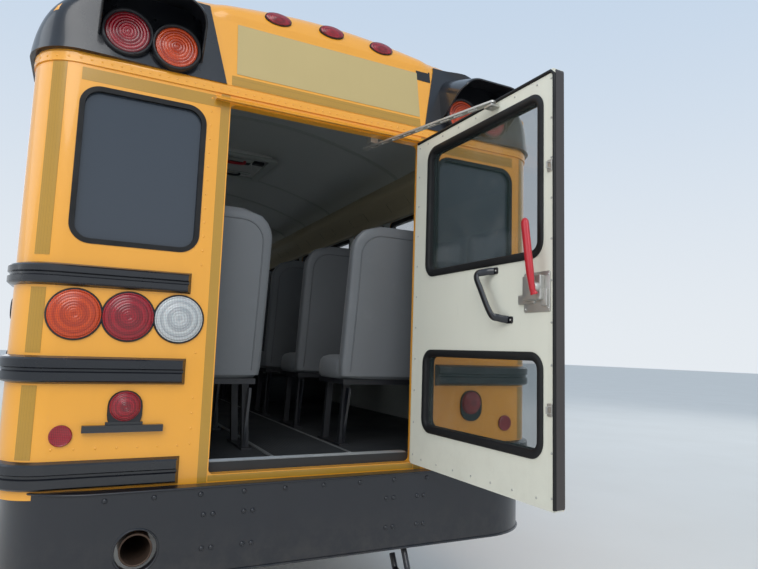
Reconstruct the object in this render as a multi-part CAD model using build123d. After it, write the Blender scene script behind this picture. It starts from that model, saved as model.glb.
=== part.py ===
from build123d import *
import math
import os

# School bus, rear-door type with a long nose. Millimetres, +X forward, +Y left, +Z up.
# Stations run forward from the outer face of the rear wall; the row frame's origin lies
# under the middle of the whole outline, rear door open.

# Overall size
BUS_LENGTH = 11300.0
DOOR_REACH = 940.0
ORIGIN_X = -(BUS_LENGTH - DOOR_REACH) / 2.0

# Body section
BODY_HALF = 1220.0
WALL = 45.0
CROWN_Z = 3050.0
ROOF_EDGE_R = 300.0
ROOF_CROWN_R = 2760.0
SKIRT_Z = 575.0
REAR_SKIRT_Z = 880.0
EAVE_Z = 2571.0
COWL_X = 9750.0
REAR_CORNER_R = 165.0
FRONT_CORNER_R = 220.0
REAR_SPLIT = 300.0
FRONT_SPLIT = 9620.0
CAP_SPLIT = 9300.0
FLOOR_TOP = 975.0
FLOOR_T = 45.0
SKIN_GLASS = 6.0
GLASS_SET = 16.0
SEAM = 0.5

# Rear door opening and leaf
OPEN_HALF = 473.0
OPEN_Z0 = 935.0
OPEN_Z1 = 2491.0
OPEN_R = 22.0
LEAF_GAP = 6.0
LEAF_T = 38.0
LEAF_X0 = -4.0
LEAF_Z0 = 942.0
LEAF_Z1 = 2475.0
HINGE_X = -19.0
HINGE_Y = -487.0
HINGE_R = 11.0
HINGE_PIN_R = 6.0
HINGE_CLEAR = 0.05
REAR_DOOR_OPEN = 91.5

# Rear door windows, distance along the leaf from the hinge
LEAF_WINDOWS = [
    # start, end, bottom, top
    (130.0, 886.0, 1805.0, 2405.0),
    (126.0, 886.0, 1105.0, 1458.0),
]
LEAF_WINDOW_R = 55.0
GASKET_W = 22.0

# Rear fixed windows
REAR_WIN_Y0 = 569.0
REAR_WIN_Y1 = 1051.0
REAR_WIN_Z0 = 1825.0
REAR_WIN_Z1 = 2451.0
REAR_WIN_R = 78.0

# Side windows
WIN_PITCH = 711.0
WIN_COUNT = 12
WIN_FIRST = 345.0
WIN_W = 620.0
WIN_Z0 = 1838.0
WIN_Z1 = 2478.0
WIN_R = 35.0
SASH_W = 30.0
SASH_T = 36.0
SASH_BAR = 42.0
PANE_T = 5.0

# Entry door and driver's window
ENTRY_X0 = 8850.0
ENTRY_X1 = 9520.0
ENTRY_Z0 = 430.0
ENTRY_Z1 = 2425.0
ENTRY_GAP = 6.0
ENTRY_T = 30.0
ENTRY_AXIS_OUT = 8.0
ENTRY_HINGES_Z = (700.0, 1218.0, 2380.0)
ENTRY_BARREL_R = 7.0
ENTRY_PIN_R = 3.5
DRIVER_X0 = 8930.0
DRIVER_X1 = 9510.0
DRIVER_Z0 = 1600.0
DRIVER_Z1 = 2440.0

# Windscreen
SCREEN_HALF = 985.0
SCREEN_Z0 = 1560.0
SCREEN_Z1 = 2440.0
SCREEN_POST = 44.0

# Rub rails: bottom, top
RAILS = [
    (1657.0, 1742.0),
    (1293.0, 1396.0),
    (910.0, 1014.0),
]
RAIL_PROUD = 26.0
RAIL_START_Y = 588.0
RAIL_END_X = 8800.0
RAIL_SPLICE_X = 200.0
RAIL_END_LEFT = 9500.0

# Wheels and axles
TYRE_R = 520.0
TYRE_W = 279.0
RIM_R = 286.0
REAR_AXLE_X = 3350.0
FRONT_AXLE_X = 10360.0
AXLE_Z = TYRE_R
TWIN_GAP = 46.0
TWIN_OUTER_Y = 1195.0
FRONT_WHEEL_Y = 1030.0
KINGPIN_Y = 930.0
ARM_BACK = 210.0
ARM_IN = 75.0
ARM_Z0 = 400.0
ARM_Z1 = 425.0
KINGPIN_R = 16.0
LUG_R = 38.0
ARCH_R = 640.0
HUB_CLEAR = 0.08

# Chassis
RAIL_OUT_Y = 430.0
RAIL_FLANGE = 76.0
RAIL_WEB = 8.0
RAIL_Z0 = 620.0
RAIL_Z1 = 874.0
CHASSIS_X0 = 120.0
CHASSIS_X1 = 11210.0
SILL_Z0 = 874.0
SILL_Z1 = 930.0

# Rear bumper
BUMPER_Z0 = 577.0
BUMPER_Z1 = 906.0
BUMPER_PROUD = 75.0
BUMPER_T = 8.0
BUMPER_HALF = 1205.0
BUMPER_R = 330.0
BUMPER_END_X = 285.0
TAILPIPE_Y = 732.0
TAILPIPE_Z = 691.0
TAILPIPE_HOLE_R = 76.0
TAILPIPE_R = 58.0

# Front bumper and hood
FRONT_BUMPER_X0 = 11210.0
FRONT_BUMPER_Z0 = 385.0
FRONT_BUMPER_Z1 = 632.0
HOOD_X0 = 9765.0
HOOD_X1 = 11170.0
HOOD_T = 12.0
HOOD_HINGE_X = 11120.0
HOOD_HINGE_Z = 640.0
FENDER_HALF = 1195.0

# Lamps
TAIL_LAMPS = [
    # colour, distance from the middle
    ("amber", 1003.0),
    ("red", 815.0),
    ("clear", 627.0),
]
TAIL_LAMP_Z = 1553.0
TAIL_LAMP_R = 92.5
PLATE_LAMP_Y = 801.0
PLATE_LAMP_Z = 1210.0
PLATE_LAMP_R = 56.5
PLATE_BAR_Z = 1131.0
REFLECTOR_Y = 1013.0
REFLECTOR_Z = 1105.0
REFLECTOR_R = 39.0
WARN_LAMPS = [
    # colour, distance from the middle, height
    ("red", 901.0, 2702.0),
    ("amber", 712.0, 2696.0),
]
WARN_R = 90.0
MARKERS_Y = (268.0, 0.0, -268.0)

# Seats
SEAT_ROWS = 12
SEAT_FIRST = 262.0
SEAT_PITCH = 702.0
SEAT_AISLE_Y = 205.0
SEAT_TRAY_Z = FLOOR_TOP + 330.0
CUSHION_T = 120.0
CUSHION_D = 400.0
BACK_TOP = 2085.0
BACK_T = 85.0

# Roof hatches: middle station
HATCHES = [
    ("hatch_rear", 2390.0),
    ("hatch_front", 6657.0),
]
HATCH_HALF = 300.0
HATCH_LID_HALF = 350.0
HATCH_CURB = 26.0
HATCH_SEAL = 0.3
HATCH_LID_T = 46.0
HATCH_BARREL_R = 8.0
HATCH_PIN_R = 4.0

# Stop arms: middle station
STOP_ARMS = [
    ("stop_arm_rear", 1010.0),
    ("stop_arm_front", 8500.0),
]
STOP_Z = 1475.0
STOP_HALF = 228.0

PARTS = {}


def block(x0, x1, y0, y1, z0, z1):
    return Pos((x0 + x1) / 2, (y0 + y1) / 2, (z0 + z1) / 2) * Box(x1 - x0, y1 - y0, z1 - z0)


def poly_x(points, x0, x1):
    face = Plane.YZ * make_face(Polyline(*points, close=True))
    return Pos(x0, 0, 0) * extrude(face, x1 - x0, dir=(1, 0, 0))


def poly_y(points, y0, y1):
    face = Plane.XZ * make_face(Polyline(*points, close=True))
    return Pos(0, y0, 0) * extrude(face, y1 - y0, dir=(0, 1, 0))


def poly_z(points, z0, z1):
    face = make_face(Polyline(*points, close=True))
    return Pos(0, 0, z0) * extrude(face, z1 - z0, dir=(0, 0, 1))


def plate_x(y0, y1, z0, z1, r, x0, x1):
    face = Plane.YZ * (Pos((y0 + y1) / 2, (z0 + z1) / 2) * RectangleRounded(y1 - y0, z1 - z0, r))
    return Pos(x0, 0, 0) * extrude(face, x1 - x0, dir=(1, 0, 0))


def plate_y(x0, x1, z0, z1, r, y0, y1):
    face = Plane.XZ * (Pos((x0 + x1) / 2, (z0 + z1) / 2) * RectangleRounded(x1 - x0, z1 - z0, r))
    return Pos(0, y0, 0) * extrude(face, y1 - y0, dir=(0, 1, 0))


def plate_z(x0, x1, y0, y1, r, z0, z1):
    face = Pos((x0 + x1) / 2, (y0 + y1) / 2) * RectangleRounded(x1 - x0, y1 - y0, r)
    return Pos(0, 0, z0) * extrude(face, z1 - z0, dir=(0, 0, 1))


def disc_x(x0, x1, y, z, r):
    face = Plane.YZ * (Pos(y, z) * Circle(r))
    return Pos(x0, 0, 0) * extrude(face, x1 - x0, dir=(1, 0, 0))


def disc_y(y0, y1, x, z, r):
    face = Plane.XZ * (Pos(x, z) * Circle(r))
    return Pos(0, y0, 0) * extrude(face, y1 - y0, dir=(0, 1, 0))


def disc_z(z0, z1, x, y, r):
    face = Pos(x, y) * Circle(r)
    return Pos(0, 0, z0) * extrude(face, z1 - z0, dir=(0, 0, 1))


def rod(a, b, r):
    a = Vector(*a)
    b = Vector(*b)
    return extrude(Plane(origin=a, z_dir=b - a) * Circle(r), (b - a).length)


def bent_tube(points, r, bend):
    line = FilletPolyline(*points, radius=bend)
    start = Plane(origin=line @ 0, z_dir=line % 0)
    return sweep(start * Circle(r), path=line)


def other_side(shape):
    return mirror(shape, about=Plane.XZ)


def put(name, *shapes):
    solids = []
    for shape in shapes:
        for solid in shape.solids():
            solids.append(Pos(ORIGIN_X, 0, 0) * solid)
    PARTS[name] = Compound(children=solids) if len(solids) > 1 else solids[0]


# Body outline in three views
def section_face():
    cz = CROWN_Z - ROOF_CROWN_R
    cy = BODY_HALF - ROOF_EDGE_R
    reach = ROOF_CROWN_R - ROOF_EDGE_R
    rise = math.sqrt(reach * reach - cy * cy)
    ez = cz + rise
    angle = math.atan2(rise, cy)
    ty = ROOF_CROWN_R * math.cos(angle)
    tz = cz + ROOF_CROWN_R * math.sin(angle)
    my = cy + ROOF_EDGE_R * math.cos(angle / 2)
    mz = ez + ROOF_EDGE_R * math.sin(angle / 2)
    lines = [
        Line((-BODY_HALF, 200), (BODY_HALF, 200)),
        Line((BODY_HALF, 200), (BODY_HALF, ez)),
        ThreePointArc((BODY_HALF, ez), (my, mz), (ty, tz)),
        ThreePointArc((ty, tz), (0, CROWN_Z), (-ty, tz)),
        ThreePointArc((-ty, tz), (-my, mz), (-BODY_HALF, ez)),
        Line((-BODY_HALF, ez), (-BODY_HALF, 200)),
    ]
    return make_face(lines)


REAR_LEAN = [(0.0, 2560.0), (52.0, 2850.0), (108.0, 2975.0), (235.0, 3046.0), (480.0, 3096.0)]
FRONT_LEAN = [(9750.0, 1480.0), (9655.0, 2480.0), (9596.0, 2850.0), (9515.0, 2972.0), (9370.0, 3042.0),
              (9100.0, 3096.0)]


def profile_face():
    r = REAR_LEAN
    f = FRONT_LEAN
    lines = [
        Line((0, 200), r[0]),
        Line(r[0], r[1]),
        ThreePointArc(r[1], r[2], r[3]),
        Line(r[3], r[4]),
        Line(r[4], f[5]),
        Line(f[5], f[4]),
        ThreePointArc(f[4], f[3], f[2]),
        Line(f[2], f[1]),
        Line(f[1], f[0]),
        Line(f[0], (COWL_X, 200)),
        Line((COWL_X, 200), (0, 200)),
    ]
    return make_face(lines)


def plan_face():
    a = REAR_CORNER_R
    b = FRONT_CORNER_R
    h = BODY_HALF
    c = COWL_X
    ra = a * (1 - math.sqrt(0.5))
    rb = b * (1 - math.sqrt(0.5))
    lines = [
        Line((0, -h + a), (0, h - a)),
        ThreePointArc((0, h - a), (ra, h - ra), (a, h)),
        Line((a, h), (c - b, h)),
        ThreePointArc((c - b, h), (c - rb, h - rb), (c, h - b)),
        Line((c, h - b), (c, -h + b)),
        ThreePointArc((c, -h + b), (c - rb, -h + rb), (c - b, -h)),
        Line((c - b, -h), (a, -h)),
        ThreePointArc((a, -h), (ra, -h + ra), (0, -h + a)),
    ]
    return make_face(lines)


def grown(face, d):
    if d == 0:
        return face
    return offset(face, amount=-d, kind=Kind.INTERSECTION)


def body_solid(d):
    across = Pos(-500, 0, 0) * extrude(Plane.YZ * grown(section_face(), d), 11000, dir=(1, 0, 0))
    along = Pos(0, -2000, 0) * extrude(Plane.XZ * grown(profile_face(), d), 4000, dir=(0, 1, 0))
    down = extrude(grown(plan_face(), d), 3600, dir=(0, 0, 1))
    return across & along & down


BODY_OUT = body_solid(0)
BODY_IN = body_solid(WALL)
GLASS_BAND = body_solid(GLASS_SET) - body_solid(GLASS_SET + SKIN_GLASS)
shell = BODY_OUT - BODY_IN
shell = shell - block(-50, 10000, -1400, 1400, 0, SKIRT_Z)
shell = shell - block(-50, REAR_SPLIT, -1400, 1400, 0, REAR_SKIRT_Z)
shell = shell - plate_x(-OPEN_HALF, OPEN_HALF, OPEN_Z0, OPEN_Z1, OPEN_R, -10, 80)
for side in (1, -1):
    y0 = min(side * REAR_WIN_Y0, side * REAR_WIN_Y1)
    y1 = max(side * REAR_WIN_Y0, side * REAR_WIN_Y1)
    shell = shell - plate_x(y0, y1, REAR_WIN_Z0, REAR_WIN_Z1, REAR_WIN_R, -10, 90)
    shell = shell - disc_y(min(0, side * 1400), max(0, side * 1400), REAR_AXLE_X, AXLE_Z, ARCH_R)
shell = shell - plate_x(SCREEN_POST / 2, SCREEN_HALF, SCREEN_Z0, SCREEN_Z1, 50, 9400, 9900)
shell = shell - plate_x(-SCREEN_HALF, -SCREEN_POST / 2, SCREEN_Z0, SCREEN_Z1, 50, 9400, 9900)
shell = shell - block(9600, 9900, -1050, 1050, 0, 930)

rear_box = block(-100, REAR_SPLIT, -1500, 1500, 0, 3300)
front_box = block(FRONT_SPLIT, 10000, -1500, 1500, 0, 3300) + block(CAP_SPLIT, 10000, -1500, 1500, EAVE_Z, 3300)
rear_wall = shell & rear_box
front_wall = shell & front_box
middle = shell - rear_box - front_box
roof = middle & block(0, 10000, -1500, 1500, EAVE_Z, 3300)
walls = middle & block(0, 10000, -1500, 1500, 0, EAVE_Z)
side_left = walls & block(0, 10000, 600, 1500, 0, EAVE_Z)
side_right = walls & block(0, 10000, -1500, -600, 0, EAVE_Z)

# Side windows
win_cuts = []
sashes = []
panes = []
for k in range(WIN_COUNT):
    x0 = WIN_FIRST + k * WIN_PITCH
    x1 = x0 + WIN_W
    mid_z = WIN_Z0 + (WIN_Z1 - WIN_Z0) * 0.5
    cut = plate_y(x0, x1, WIN_Z0, WIN_Z1, WIN_R, BODY_HALF - 90, BODY_HALF + 30)
    win_cuts.append(cut)
    ring = plate_y(x0, x1, WIN_Z0, WIN_Z1, WIN_R, BODY_HALF - SASH_T - 4, BODY_HALF - 4)
    low = (x0 + SASH_W, x1 - SASH_W, WIN_Z0 + SASH_W, mid_z - SASH_BAR / 2)
    high = (x0 + SASH_W, x1 - SASH_W, mid_z + SASH_BAR / 2, WIN_Z1 - SASH_W)
    for index, hole in enumerate((low, high)):
        ring = ring - block(hole[0], hole[1], BODY_HALF - 90, BODY_HALF + 30, hole[2], hole[3])
        y = BODY_HALF - 16 - index * 10
        panes.append(block(hole[0], hole[1], y - PANE_T, y, hole[2], hole[3]))
    sashes.append(ring)
cut_all = win_cuts[0]
for cut in win_cuts[1:]:
    cut_all = cut_all + cut
side_left = side_left - cut_all
side_right = side_right - other_side(cut_all)
driver_cut = plate_y(DRIVER_X0, DRIVER_X1, DRIVER_Z0, DRIVER_Z1, 45, BODY_HALF - 120, BODY_HALF + 30)
side_left = side_left - driver_cut
side_right = side_right - block(ENTRY_X0, ENTRY_X1, -1400, -1000, 0, ENTRY_Z1)
put("side_wall_left", side_left)
put("side_wall_right", side_right)
window_frames = sashes + [other_side(s) for s in sashes]
window_glass = panes + [other_side(p) for p in panes]

# Roof with hatch openings and curbs
for name, x in HATCHES:
    roof = roof - block(x - HATCH_HALF, x + HATCH_HALF, -HATCH_HALF, HATCH_HALF, 2900, 3300)
    for seam_x in (x - HATCH_HALF, x + HATCH_HALF):
        roof = roof - block(seam_x - SEAM / 2, seam_x + SEAM / 2, -1400, 1400, 2400, 3300)
put("roof", *roof.solids())
put("rear_wall", rear_wall)
put("front_wall", front_wall)

# Hatch frames seated in the roof openings, and their lids
hatch_frames = []
for name, x in HATCHES:
    h = HATCH_HALF
    frame = block(x - h, x + h, -h, h, CROWN_Z - 85, CROWN_Z + HATCH_CURB)
    frame = frame - block(x - h + 24, x + h - 24, -h + 24, h - 24, 2900, 3300)
    lid_z = CROWN_Z + HATCH_CURB + HATCH_SEAL
    axis_x = x + HATCH_LID_HALF
    lid = plate_z(x - HATCH_LID_HALF, x + HATCH_LID_HALF, -HATCH_LID_HALF, HATCH_LID_HALF, 50,
                  lid_z, lid_z + HATCH_LID_T)
    lid = chamfer(lid.faces().sort_by(Axis.Z)[-1].edges(), 14)
    hollow = HATCH_HALF - 20
    lid = lid - block(x - hollow, x + hollow, -hollow, hollow, lid_z - 1, lid_z + 26)
    for y in (-200, 200):
        lid = lid + disc_y(y - 25, y + 25, axis_x, lid_z, HATCH_BARREL_R)
        for y0 in (y - 39.5, y + 25.5):
            lid = lid - disc_y(y0 - 0.5, y0 + 14.5, axis_x, lid_z, HATCH_BARREL_R + 5)
            frame = frame + disc_y(y0, y0 + 14, axis_x, lid_z, HATCH_BARREL_R)
            frame = frame + block(x + h - 2, axis_x, y0, y0 + 14, lid_z - 24, lid_z - 7)
        lid = lid - disc_y(y - 26, y + 26, axis_x, lid_z, HATCH_PIN_R + HINGE_CLEAR)
        frame = frame + disc_y(y - 39, y + 39, axis_x, lid_z, HATCH_PIN_R)
    hatch_frames.append(frame)
    put(name + "_lid", lid)
put("hatch_frames", *hatch_frames)

# Glass in the windscreen, the driver's window and the rear windows
screen = (GLASS_BAND & plate_x(SCREEN_POST / 2, SCREEN_HALF, SCREEN_Z0, SCREEN_Z1, 50, 9400, 9900))
driver_glass = GLASS_BAND & driver_cut
window_glass = window_glass + [screen, other_side(screen), driver_glass]
for side in (1, -1):
    y0 = min(side * REAR_WIN_Y0, side * REAR_WIN_Y1)
    y1 = max(side * REAR_WIN_Y0, side * REAR_WIN_Y1)
    ring = plate_x(y0, y1, REAR_WIN_Z0, REAR_WIN_Z1, REAR_WIN_R, -3, WALL + 3)
    g = 20
    hole = plate_x(y0 + g, y1 - g, REAR_WIN_Z0 + g, REAR_WIN_Z1 - g, REAR_WIN_R - g, -20, 80)
    window_frames.append(ring - hole)
    window_glass.append(plate_x(y0 + g, y1 - g, REAR_WIN_Z0 + g, REAR_WIN_Z1 - g, REAR_WIN_R - g, 14, 20))
put("window_frames", *window_frames)
put("window_glass", *window_glass)

# Rub rails wrap the rear corners
def rail(z0, z1, x_end, side):
    h = BODY_HALF
    a = REAR_CORNER_R
    ra = a * (1 - math.sqrt(0.5))
    lines = [
        Line((0, RAIL_START_Y, 0), (0, h - a, 0)),
        ThreePointArc((0, h - a, 0), (ra, h - ra, 0), (a, h, 0)),
        Line((a, h, 0), (x_end, h, 0)),
    ]
    path = Wire(lines)
    p = RAIL_PROUD
    zc = (z0 + z1) / 2
    shape = Polyline((0, z0), (-p + 6, z0 + 7), (-p, z0 + 13), (-p, zc - 9), (-p + 8, zc - 4), (-p + 8, zc + 4),
                     (-p, zc + 9), (-p, z1 - 13), (-p + 6, z1 - 7), (0, z1), close=True)
    start = Plane(origin=(0, RAIL_START_Y, 0), x_dir=(1, 0, 0), z_dir=(0, -1, 0))
    body = sweep(start * make_face(shape), path=path)
    wedge = poly_z([(-60, RAIL_START_Y - 20), (-60, RAIL_START_Y + 34), (0, RAIL_START_Y)], z0 - 20, z1 + 20)
    body = body - wedge
    return body if side > 0 else other_side(body)


rails = []
for z0, z1 in RAILS:
    rails.append(rail(z0, z1, RAIL_END_LEFT, 1))
    rails.append(rail(z0, z1, RAIL_END_X, -1))
rails_cut = []
for r in rails:
    piece = r - disc_y(-1400, 1400, REAR_AXLE_X, AXLE_Z, ARCH_R + 25)
    piece = piece - block(RAIL_SPLICE_X - SEAM / 2, RAIL_SPLICE_X + SEAM / 2, -1400, 1400, 800, 1900)
    rails_cut.extend(piece.solids())
put("rub_rails", *rails_cut)

# Belt rail and drip rail over the rear door
belt = []
band = body_solid(-6) - BODY_OUT
belt_ring = band & block(-50, 9300, -1400, 1400, 2530, 2566)
drip = poly_y([(-6, 2497), (-40, 2489), (-42, 2493), (-8, 2515), (0, 2515), (0, 2497)], -540, 540)
body_trim = [belt_ring, drip]

# Lamp housings on the caps, with hoods over the four warning lamps
def housing_zone(y_in0, y_in1, z0, z1, x0, x1):
    return poly_x([(y_in0, z0), (1400, z0), (1400, z1), (y_in1, z1)], x0, x1)


pod_out = body_solid(-28)
pod_band = pod_out - BODY_OUT
rear_pod = pod_band & housing_zone(496, 598, 2577, 2945, -100, 420)
front_pod = pod_band & housing_zone(496, 598, 2577, 2945, 9330, 9900)
rear_pods = []
front_pods = []
lamp_red = []
lamp_amber = []
front_red = []
front_amber = []
for colour, y, z in WARN_LAMPS:
    lean = (z - 2560.0) * 52.0 / 290.0
    rear_x = lean - 28
    rear_pod = rear_pod - disc_x(-120, rear_x + 60, y, z, WARN_R + 1)
    hood = disc_x(rear_x - 62, rear_x + 60, y, z, WARN_R + 8) - disc_x(-160, 200, y, z, WARN_R + 1)
    hood = hood - poly_y([(-160, z - 140), (-160, z + 95), (rear_x - 5, z - 20), (rear_x - 5, z - 140)], 300, 1300)
    rear_pod = rear_pod + (hood - BODY_OUT)
    lamp = disc_x(rear_x - 14, rear_x + 60, y, z, WARN_R) - BODY_OUT
    (lamp_red if colour == "red" else lamp_amber).append(lamp)
    front_x = 9655.0 - (z - 2480.0) * 59.0 / 370.0 + 28
    front_pod = front_pod - disc_x(front_x - 70, 9900, y, z, WARN_R + 1)
    hood = disc_x(front_x - 60, front_x + 55, y, z, WARN_R + 8) - disc_x(9500, 9900, y, z, WARN_R + 1)
    hood = hood - poly_y([(9900, z - 140), (9900, z + 95), (front_x + 5, z - 20), (front_x + 5, z - 140)], 300, 1300)
    front_pod = front_pod + (hood - BODY_OUT)
    lamp = disc_x(front_x - 60, front_x + 14, y, z, WARN_R) - BODY_OUT
    (front_red if colour == "red" else front_amber).append(lamp)
put("lamp_housings", rear_pod, other_side(rear_pod), front_pod, other_side(front_pod))


def tail_lamp(y, z, r, colour):
    dome = revolve(Plane.XZ * make_face(Polyline((0, 0), (0, r), (-9, r), (-14, r - 6), (-22, r * 0.72), (-27, 0),
                                                 close=True)), axis=Axis.X)
    return Pos(0, y, z) * dome


lamp_clear = []
COLOURS = {"red": lamp_red, "amber": lamp_amber, "clear": lamp_clear}
lamp_red.extend([other_side(s) for s in lamp_red[:1]])
lamp_amber.extend([other_side(s) for s in lamp_amber[:1]])
for colour, y in TAIL_LAMPS:
    for side in (1, -1):
        COLOURS[colour].append(tail_lamp(side * y, TAIL_LAMP_Z, TAIL_LAMP_R, colour))
for side in (1, -1):
    lamp_red.append(disc_x(-12, 0, side * REFLECTOR_Y, REFLECTOR_Z, REFLECTOR_R))
    lamp_red.append(tail_lamp(side * PLATE_LAMP_Y, PLATE_LAMP_Z, PLATE_LAMP_R, "red"))


def marker(x, y, z, front):
    pill = plate_z(x - 22, x + 22, y - 48, y + 48, 21, z - 30, z + 17)
    return pill - BODY_OUT


rear_markers = [marker(118, y, CROWN_Z - 30 - abs(y) * 0.05, False) for y in MARKERS_Y]
front_markers = [marker(9500, y, CROWN_Z - 34 - abs(y) * 0.05, True) for y in MARKERS_Y]
corner_lamp = block(445, 525, 1150, 1258, 2700, 2780) - BODY_OUT
put("lamps_red", *(lamp_red + rear_markers + [corner_lamp, other_side(corner_lamp)] + front_red
                   + [other_side(s) for s in front_red]))
put("lamps_amber", *(lamp_amber + front_amber + [other_side(s) for s in front_amber] + front_markers))
put("lamps_clear", *lamp_clear)
plate_bar = block(-24, 0, 661, 946, PLATE_BAR_Z - 16, PLATE_BAR_Z + 10)
plate_bar = plate_bar + block(-10, 0, PLATE_LAMP_Y - 66, PLATE_LAMP_Y + 66, PLATE_BAR_Z + 10, 1152)
body_trim.append(plate_bar)

# Floor with its cross sills, wheel houses and step well
floor = BODY_IN & block(0, 10000, -1300, 1300, FLOOR_TOP - FLOOR_T, FLOOR_TOP)
WELL_Y = -640.0
floor = floor - block(ENTRY_X0 - 8, ENTRY_X1 + 8, -1400, WELL_Y, 800, 1100)
HOUSE = (REAR_AXLE_X - 640, REAR_AXLE_X + 640, 560.0, BODY_HALF - WALL, SILL_Z0, 1185.0)
for side in (1, -1):
    a = min(side * HOUSE[2], side * 1400)
    b = max(side * HOUSE[2], side * 1400)
    floor = floor - block(HOUSE[0], HOUSE[1], a, b, 800, 1100)
for k in range(14):
    x = 200 + k * WIN_PITCH
    if abs(x + 25 - REAR_AXLE_X) < 700:
        floor = floor + block(x, x + 50, -540, 540, SILL_Z0, SILL_Z1)
        continue
    right = -1170 if not (ENTRY_X0 - 70 < x < ENTRY_X1 + 20) else -600
    floor = floor + block(x, x + 50, right, 1170, SILL_Z0, SILL_Z1)
for seam_x in (ENTRY_X0 - 8, ENTRY_X1 + 8):
    floor = floor - block(seam_x - SEAM / 2, seam_x + SEAM / 2, -1400, 1400, 800, 1100)
put("floor", *floor.solids())
house_out = poly_y([(HOUSE[0], HOUSE[4]), (HOUSE[0], HOUSE[5] - 240), (HOUSE[0] + 240, HOUSE[5]),
                    (HOUSE[1] - 240, HOUSE[5]), (HOUSE[1], HOUSE[5] - 240), (HOUSE[1], HOUSE[4])], HOUSE[2], HOUSE[3])
t = 6
house_in = poly_y([(HOUSE[0] + t, HOUSE[4] - 5), (HOUSE[0] + t, HOUSE[5] - 242), (HOUSE[0] + 242, HOUSE[5] - t),
                   (HOUSE[1] - 242, HOUSE[5] - t), (HOUSE[1] - t, HOUSE[5] - 242), (HOUSE[1] - t, HOUSE[4] - 5)],
                  HOUSE[2] + t, HOUSE[3] + 20)
house = house_out - house_in
well = poly_x([(-1175, 400), (-1175, 412), (-912, 412), (-912, 690), (WELL_Y - 8, 690), (WELL_Y - 8, FLOOR_TOP),
               (WELL_Y, FLOOR_TOP), (WELL_Y, 682), (-904, 682), (-904, 400)], ENTRY_X0 - 8, ENTRY_X1 + 8)
cheek = poly_x([(-1175, 412), (-912, 412), (-912, 690), (WELL_Y - 8, 690), (WELL_Y - 8, FLOOR_TOP),
                (-1175, FLOOR_TOP)], ENTRY_X0 - 8, ENTRY_X0)
cheek2 = Pos(ENTRY_X1 + 8 - ENTRY_X0, 0, 0) * cheek
well = well + cheek + cheek2
put("floor_wells", house, other_side(house), well)

# Seats
rows = []
backs = []
frames = []
SEAT_WALL = BODY_HALF - WALL
for k in range(SEAT_ROWS):
    x = SEAT_FIRST + k * SEAT_PITCH
    tz = SEAT_TRAY_Z
    cushion = poly_y([(x, tz), (x, tz + CUSHION_T), (x + CUSHION_D - 40, tz + CUSHION_T + 8),
                      (x + CUSHION_D, tz + CUSHION_T - 30), (x + CUSHION_D, tz)], SEAT_AISLE_Y, SEAT_WALL - 2)
    cushion = cushion - poly_y([(x - 20, tz + 12), (x - 20, 2200), (x - 14, 2200), (x + 90, tz + 12)], 0, 1300)
    back = poly_y([(x - 6, tz + 12.3), (x - 128, BACK_TOP - 30), (x - 112, BACK_TOP), (x - 62, BACK_TOP),
                   (x - 40, BACK_TOP - 30), (x + 84, tz + 12.3)], SEAT_AISLE_Y + 2, SEAT_WALL - 2)
    trim = plate_x(SEAT_AISLE_Y + 2, SEAT_WALL - 2, tz - 200, BACK_TOP, 130, x - 200, x + 300)
    back = back & trim
    tray = block(x + 20, x + CUSHION_D - 30, SEAT_AISLE_Y + 20, SEAT_WALL, tz - 26, tz)
    post_a = poly_x([(SEAT_AISLE_Y + 24, FLOOR_TOP), (SEAT_AISLE_Y + 56, FLOOR_TOP), (SEAT_AISLE_Y + 72, tz - 26),
                     (SEAT_AISLE_Y + 40, tz - 26)], x + 60, x + 86)
    post_b = Pos(220, 0, 0) * post_a
    foot = block(x + 30, x + 336, SEAT_AISLE_Y + 14, SEAT_AISLE_Y + 66, FLOOR_TOP, FLOOR_TOP + 10)
    rows.append(cushion)
    backs.append(back)
    frames.append(tray + post_a + post_b + foot)

# Driver's place
DS_X = 8800.0
DS_Y = 560.0
ds = block(DS_X + 40, DS_X + 360, DS_Y - 150, DS_Y + 150, FLOOR_TOP, FLOOR_TOP + 300)
ds_cushion = plate_z(DS_X - 20, DS_X + 460, DS_Y - 250, DS_Y + 250, 60, FLOOR_TOP + 300, FLOOR_TOP + 420)
ds_back = poly_y([(DS_X - 30, FLOOR_TOP + 420.3), (DS_X - 190, FLOOR_TOP + 1150), (DS_X - 90, FLOOR_TOP + 1150),
                  (DS_X + 90, FLOOR_TOP + 420.3)], DS_Y - 240, DS_Y + 240)
pads = []
posts = []
for side, x in ((1, 8480.0), (-1, 8700.0)):
    pad = block(x, x + 40, SEAT_AISLE_Y + 20, SEAT_WALL - 2, FLOOR_TOP + 150, 2000)
    legs = block(x + 5, x + 35, SEAT_AISLE_Y + 40, SEAT_AISLE_Y + 70, FLOOR_TOP, FLOOR_TOP + 150)
    legs2 = block(x + 5, x + 35, SEAT_WALL - 70, SEAT_WALL - 40, FLOOR_TOP, FLOOR_TOP + 150)
    pads.append(pad if side > 0 else other_side(pad))
    for leg in (legs, legs2):
        posts.append(leg if side > 0 else other_side(leg))
put("seat_cushions", *(rows + [other_side(s) for s in rows] + [ds_cushion]))
put("seat_backs", *(backs + [other_side(s) for s in backs] + [ds_back] + pads))
put("seat_frames", *(frames + [other_side(s) for s in frames] + [ds] + posts))
dash = poly_y([(9690, FLOOR_TOP), (9690, 1540), (9600, 1560), (9470, 1480), (9450, 1300), (9560, 1150),
               (9600, FLOOR_TOP)], -560, SEAT_WALL - 60)
dash = dash & BODY_IN
col_a = (9520, DS_Y, 1330)
col_b = (9370, DS_Y, 1540)
column = rod(col_a, col_b, 30)
wheel_plane = Plane(origin=col_b, z_dir=Vector(*col_b) - Vector(*col_a))
wheel = wheel_plane * Torus(215, 15)
spokes = wheel_plane * Box(410, 26, 14)
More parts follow.
